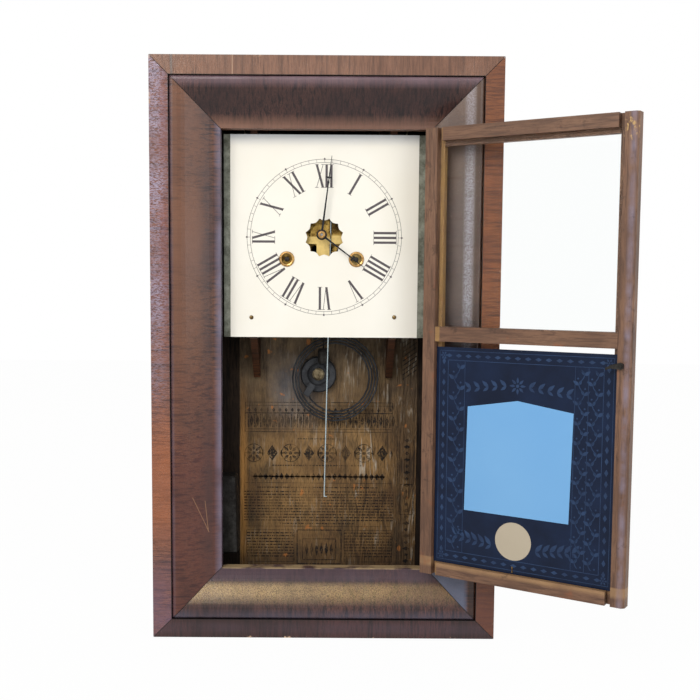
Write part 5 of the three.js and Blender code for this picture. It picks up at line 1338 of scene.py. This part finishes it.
def choose_shader(t, factor, plain, direct, output):
    """Puts out one shader where factor is 0 and another where it is 1."""
    choose = t.node("ShaderNodeMixShader")
    t.put(choose.inputs[0], factor)
    t.links.new(plain, choose.inputs[1])
    t.links.new(direct, choose.inputs[2])
    t.links.new(choose.outputs[0], output.inputs["Surface"])


class CLOCK_OT_stage(bpy.types.Operator):
    """Sets the camera, the pale floor and the soft studio light"""

    bl_idname = "clock.stage"
    bl_label = "Camera, floor and light"

    def execute(self, context):
        scene = context.scene
        scene.view_settings.view_transform = "Standard"
        settings = scene.clock_stage

        data = bpy.data.cameras.new("Camera")
        camera = bpy.data.objects.new("Camera", data)
        scene.collection.objects.link(camera)
        pitch, yaw, roll = (math.radians(turn) for turn in CAMERA_TURNS)
        forward = Vector((math.sin(yaw) * math.cos(pitch), math.cos(yaw) * math.cos(pitch), -math.sin(pitch)))
        right = Vector((math.cos(yaw), -math.sin(yaw), 0.0))
        up = right.cross(forward)
        rolled = right * math.cos(roll) + up * math.sin(roll)
        risen = up * math.cos(roll) - right * math.sin(roll)
        camera.matrix_world = Matrix((
            (rolled.x, risen.x, -forward.x, CAMERA_PLACE[0]),
            (rolled.y, risen.y, -forward.y, CAMERA_PLACE[1]),
            (rolled.z, risen.z, -forward.z, CAMERA_PLACE[2]),
            (0, 0, 0, 1),
        ))
        data.sensor_width = 36.0
        data.lens = LENS_PIXELS / PHOTO_SIZE * data.sensor_width
        data.shift_x = (PHOTO_SIZE / 2 - OPTICAL_CENTRE[0]) / PHOTO_SIZE
        data.shift_y = (OPTICAL_CENTRE[1] - PHOTO_SIZE / 2) / PHOTO_SIZE
        data.clip_end = 20.0
        scene.camera = camera

        world = bpy.data.worlds.new("Studio")
        scene.world = world
        world.use_nodes = True
        t = Tree(world.node_tree)
        light = world.node_tree.nodes["Background"]
        light.inputs["Color"].default_value = (1.0, 0.99, 0.97, 1.0)
        light.inputs["Strength"].default_value = settings.sky
        white = t.node("ShaderNodeBackground")
        white.inputs["Color"].default_value = (1.0, 1.0, 1.0, 1.0)
        output = world.node_tree.nodes["World Output"]
        choose_shader(t, seen_directly(t), light.outputs[0], white.outputs[0], output)

        floor = bmesh.new()
        bmesh.ops.create_grid(floor, x_segments=1, y_segments=1, size=4.0)
        bmesh.ops.translate(floor, verts=floor.verts, vec=(0, 0, -0.0005))
        material, t, shader, _ = new_material("Pale floor")
        shader.inputs["Base Color"].default_value = (0.86, 0.86, 0.85, 1.0)
        shader.inputs["Roughness"].default_value = 0.8
        glow = t.node("ShaderNodeEmission")
        glow.inputs["Color"].default_value = (1.0, 1.0, 1.0, 1.0)
        output = material.node_tree.nodes["Material Output"]
        seen = t.times(seen_directly(t), 0.97)
        choose_shader(t, seen, shader.outputs[0], glow.outputs[0], output)
        piece = finish_piece("studio_floor", floor, material, None)

        power = settings.lamp_power
        add_lamp("Key lamp", (-0.9, -1.7, 1.5), (1.2, 1.0), power, (1.0, 0.97, 0.92))
        add_lamp("Fill lamp", (1.3, -1.6, 0.9), (1.0, 1.4), power * 0.35, (0.9, 0.94, 1.0))
        return {"FINISHED"}


# ---- Panel and registration ----
OPERATORS = [
    CLOCK_OT_stage,
    CLOCK_OT_cords,
    CLOCK_OT_case,
    CLOCK_OT_label,
    CLOCK_OT_dial,
    CLOCK_OT_metalwork,
    CLOCK_OT_door,
]


class CLOCK_PT_panel(bpy.types.Panel):
    """Lists the steps that dress the clock"""

    bl_idname = "CLOCK_PT_panel"
    bl_label = "Ogee shelf clock"
    bl_space_type = "VIEW_3D"
    bl_region_type = "UI"
    bl_category = "Clock"

    def draw(self, context):
        for operator in OPERATORS:
            self.layout.operator(operator.bl_idname)
        for group in (context.scene.clock_dial, context.scene.clock_door, context.scene.clock_stage):
            for name in group.__annotations__:
                self.layout.prop(group, name)


CLASSES = [ClockDialSettings, ClockDoorSettings, ClockStageSettings, *OPERATORS, CLOCK_PT_panel]


def register():
    for kind in CLASSES:
        bpy.utils.register_class(kind)
    bpy.types.Scene.clock_dial = bpy.props.PointerProperty(type=ClockDialSettings)
    bpy.types.Scene.clock_door = bpy.props.PointerProperty(type=ClockDoorSettings)
    bpy.types.Scene.clock_stage = bpy.props.PointerProperty(type=ClockStageSettings)


def unregister():
    for name in ("clock_dial", "clock_door", "clock_stage"):
        delattr(bpy.types.Scene, name)
    for kind in reversed(CLASSES):
        bpy.utils.unregister_class(kind)


def main():
    register()
    for operator in OPERATORS:
        group, name = operator.bl_idname.split(".")
        getattr(getattr(bpy.ops, group), name)()


if __name__ == "__main__":
    main()
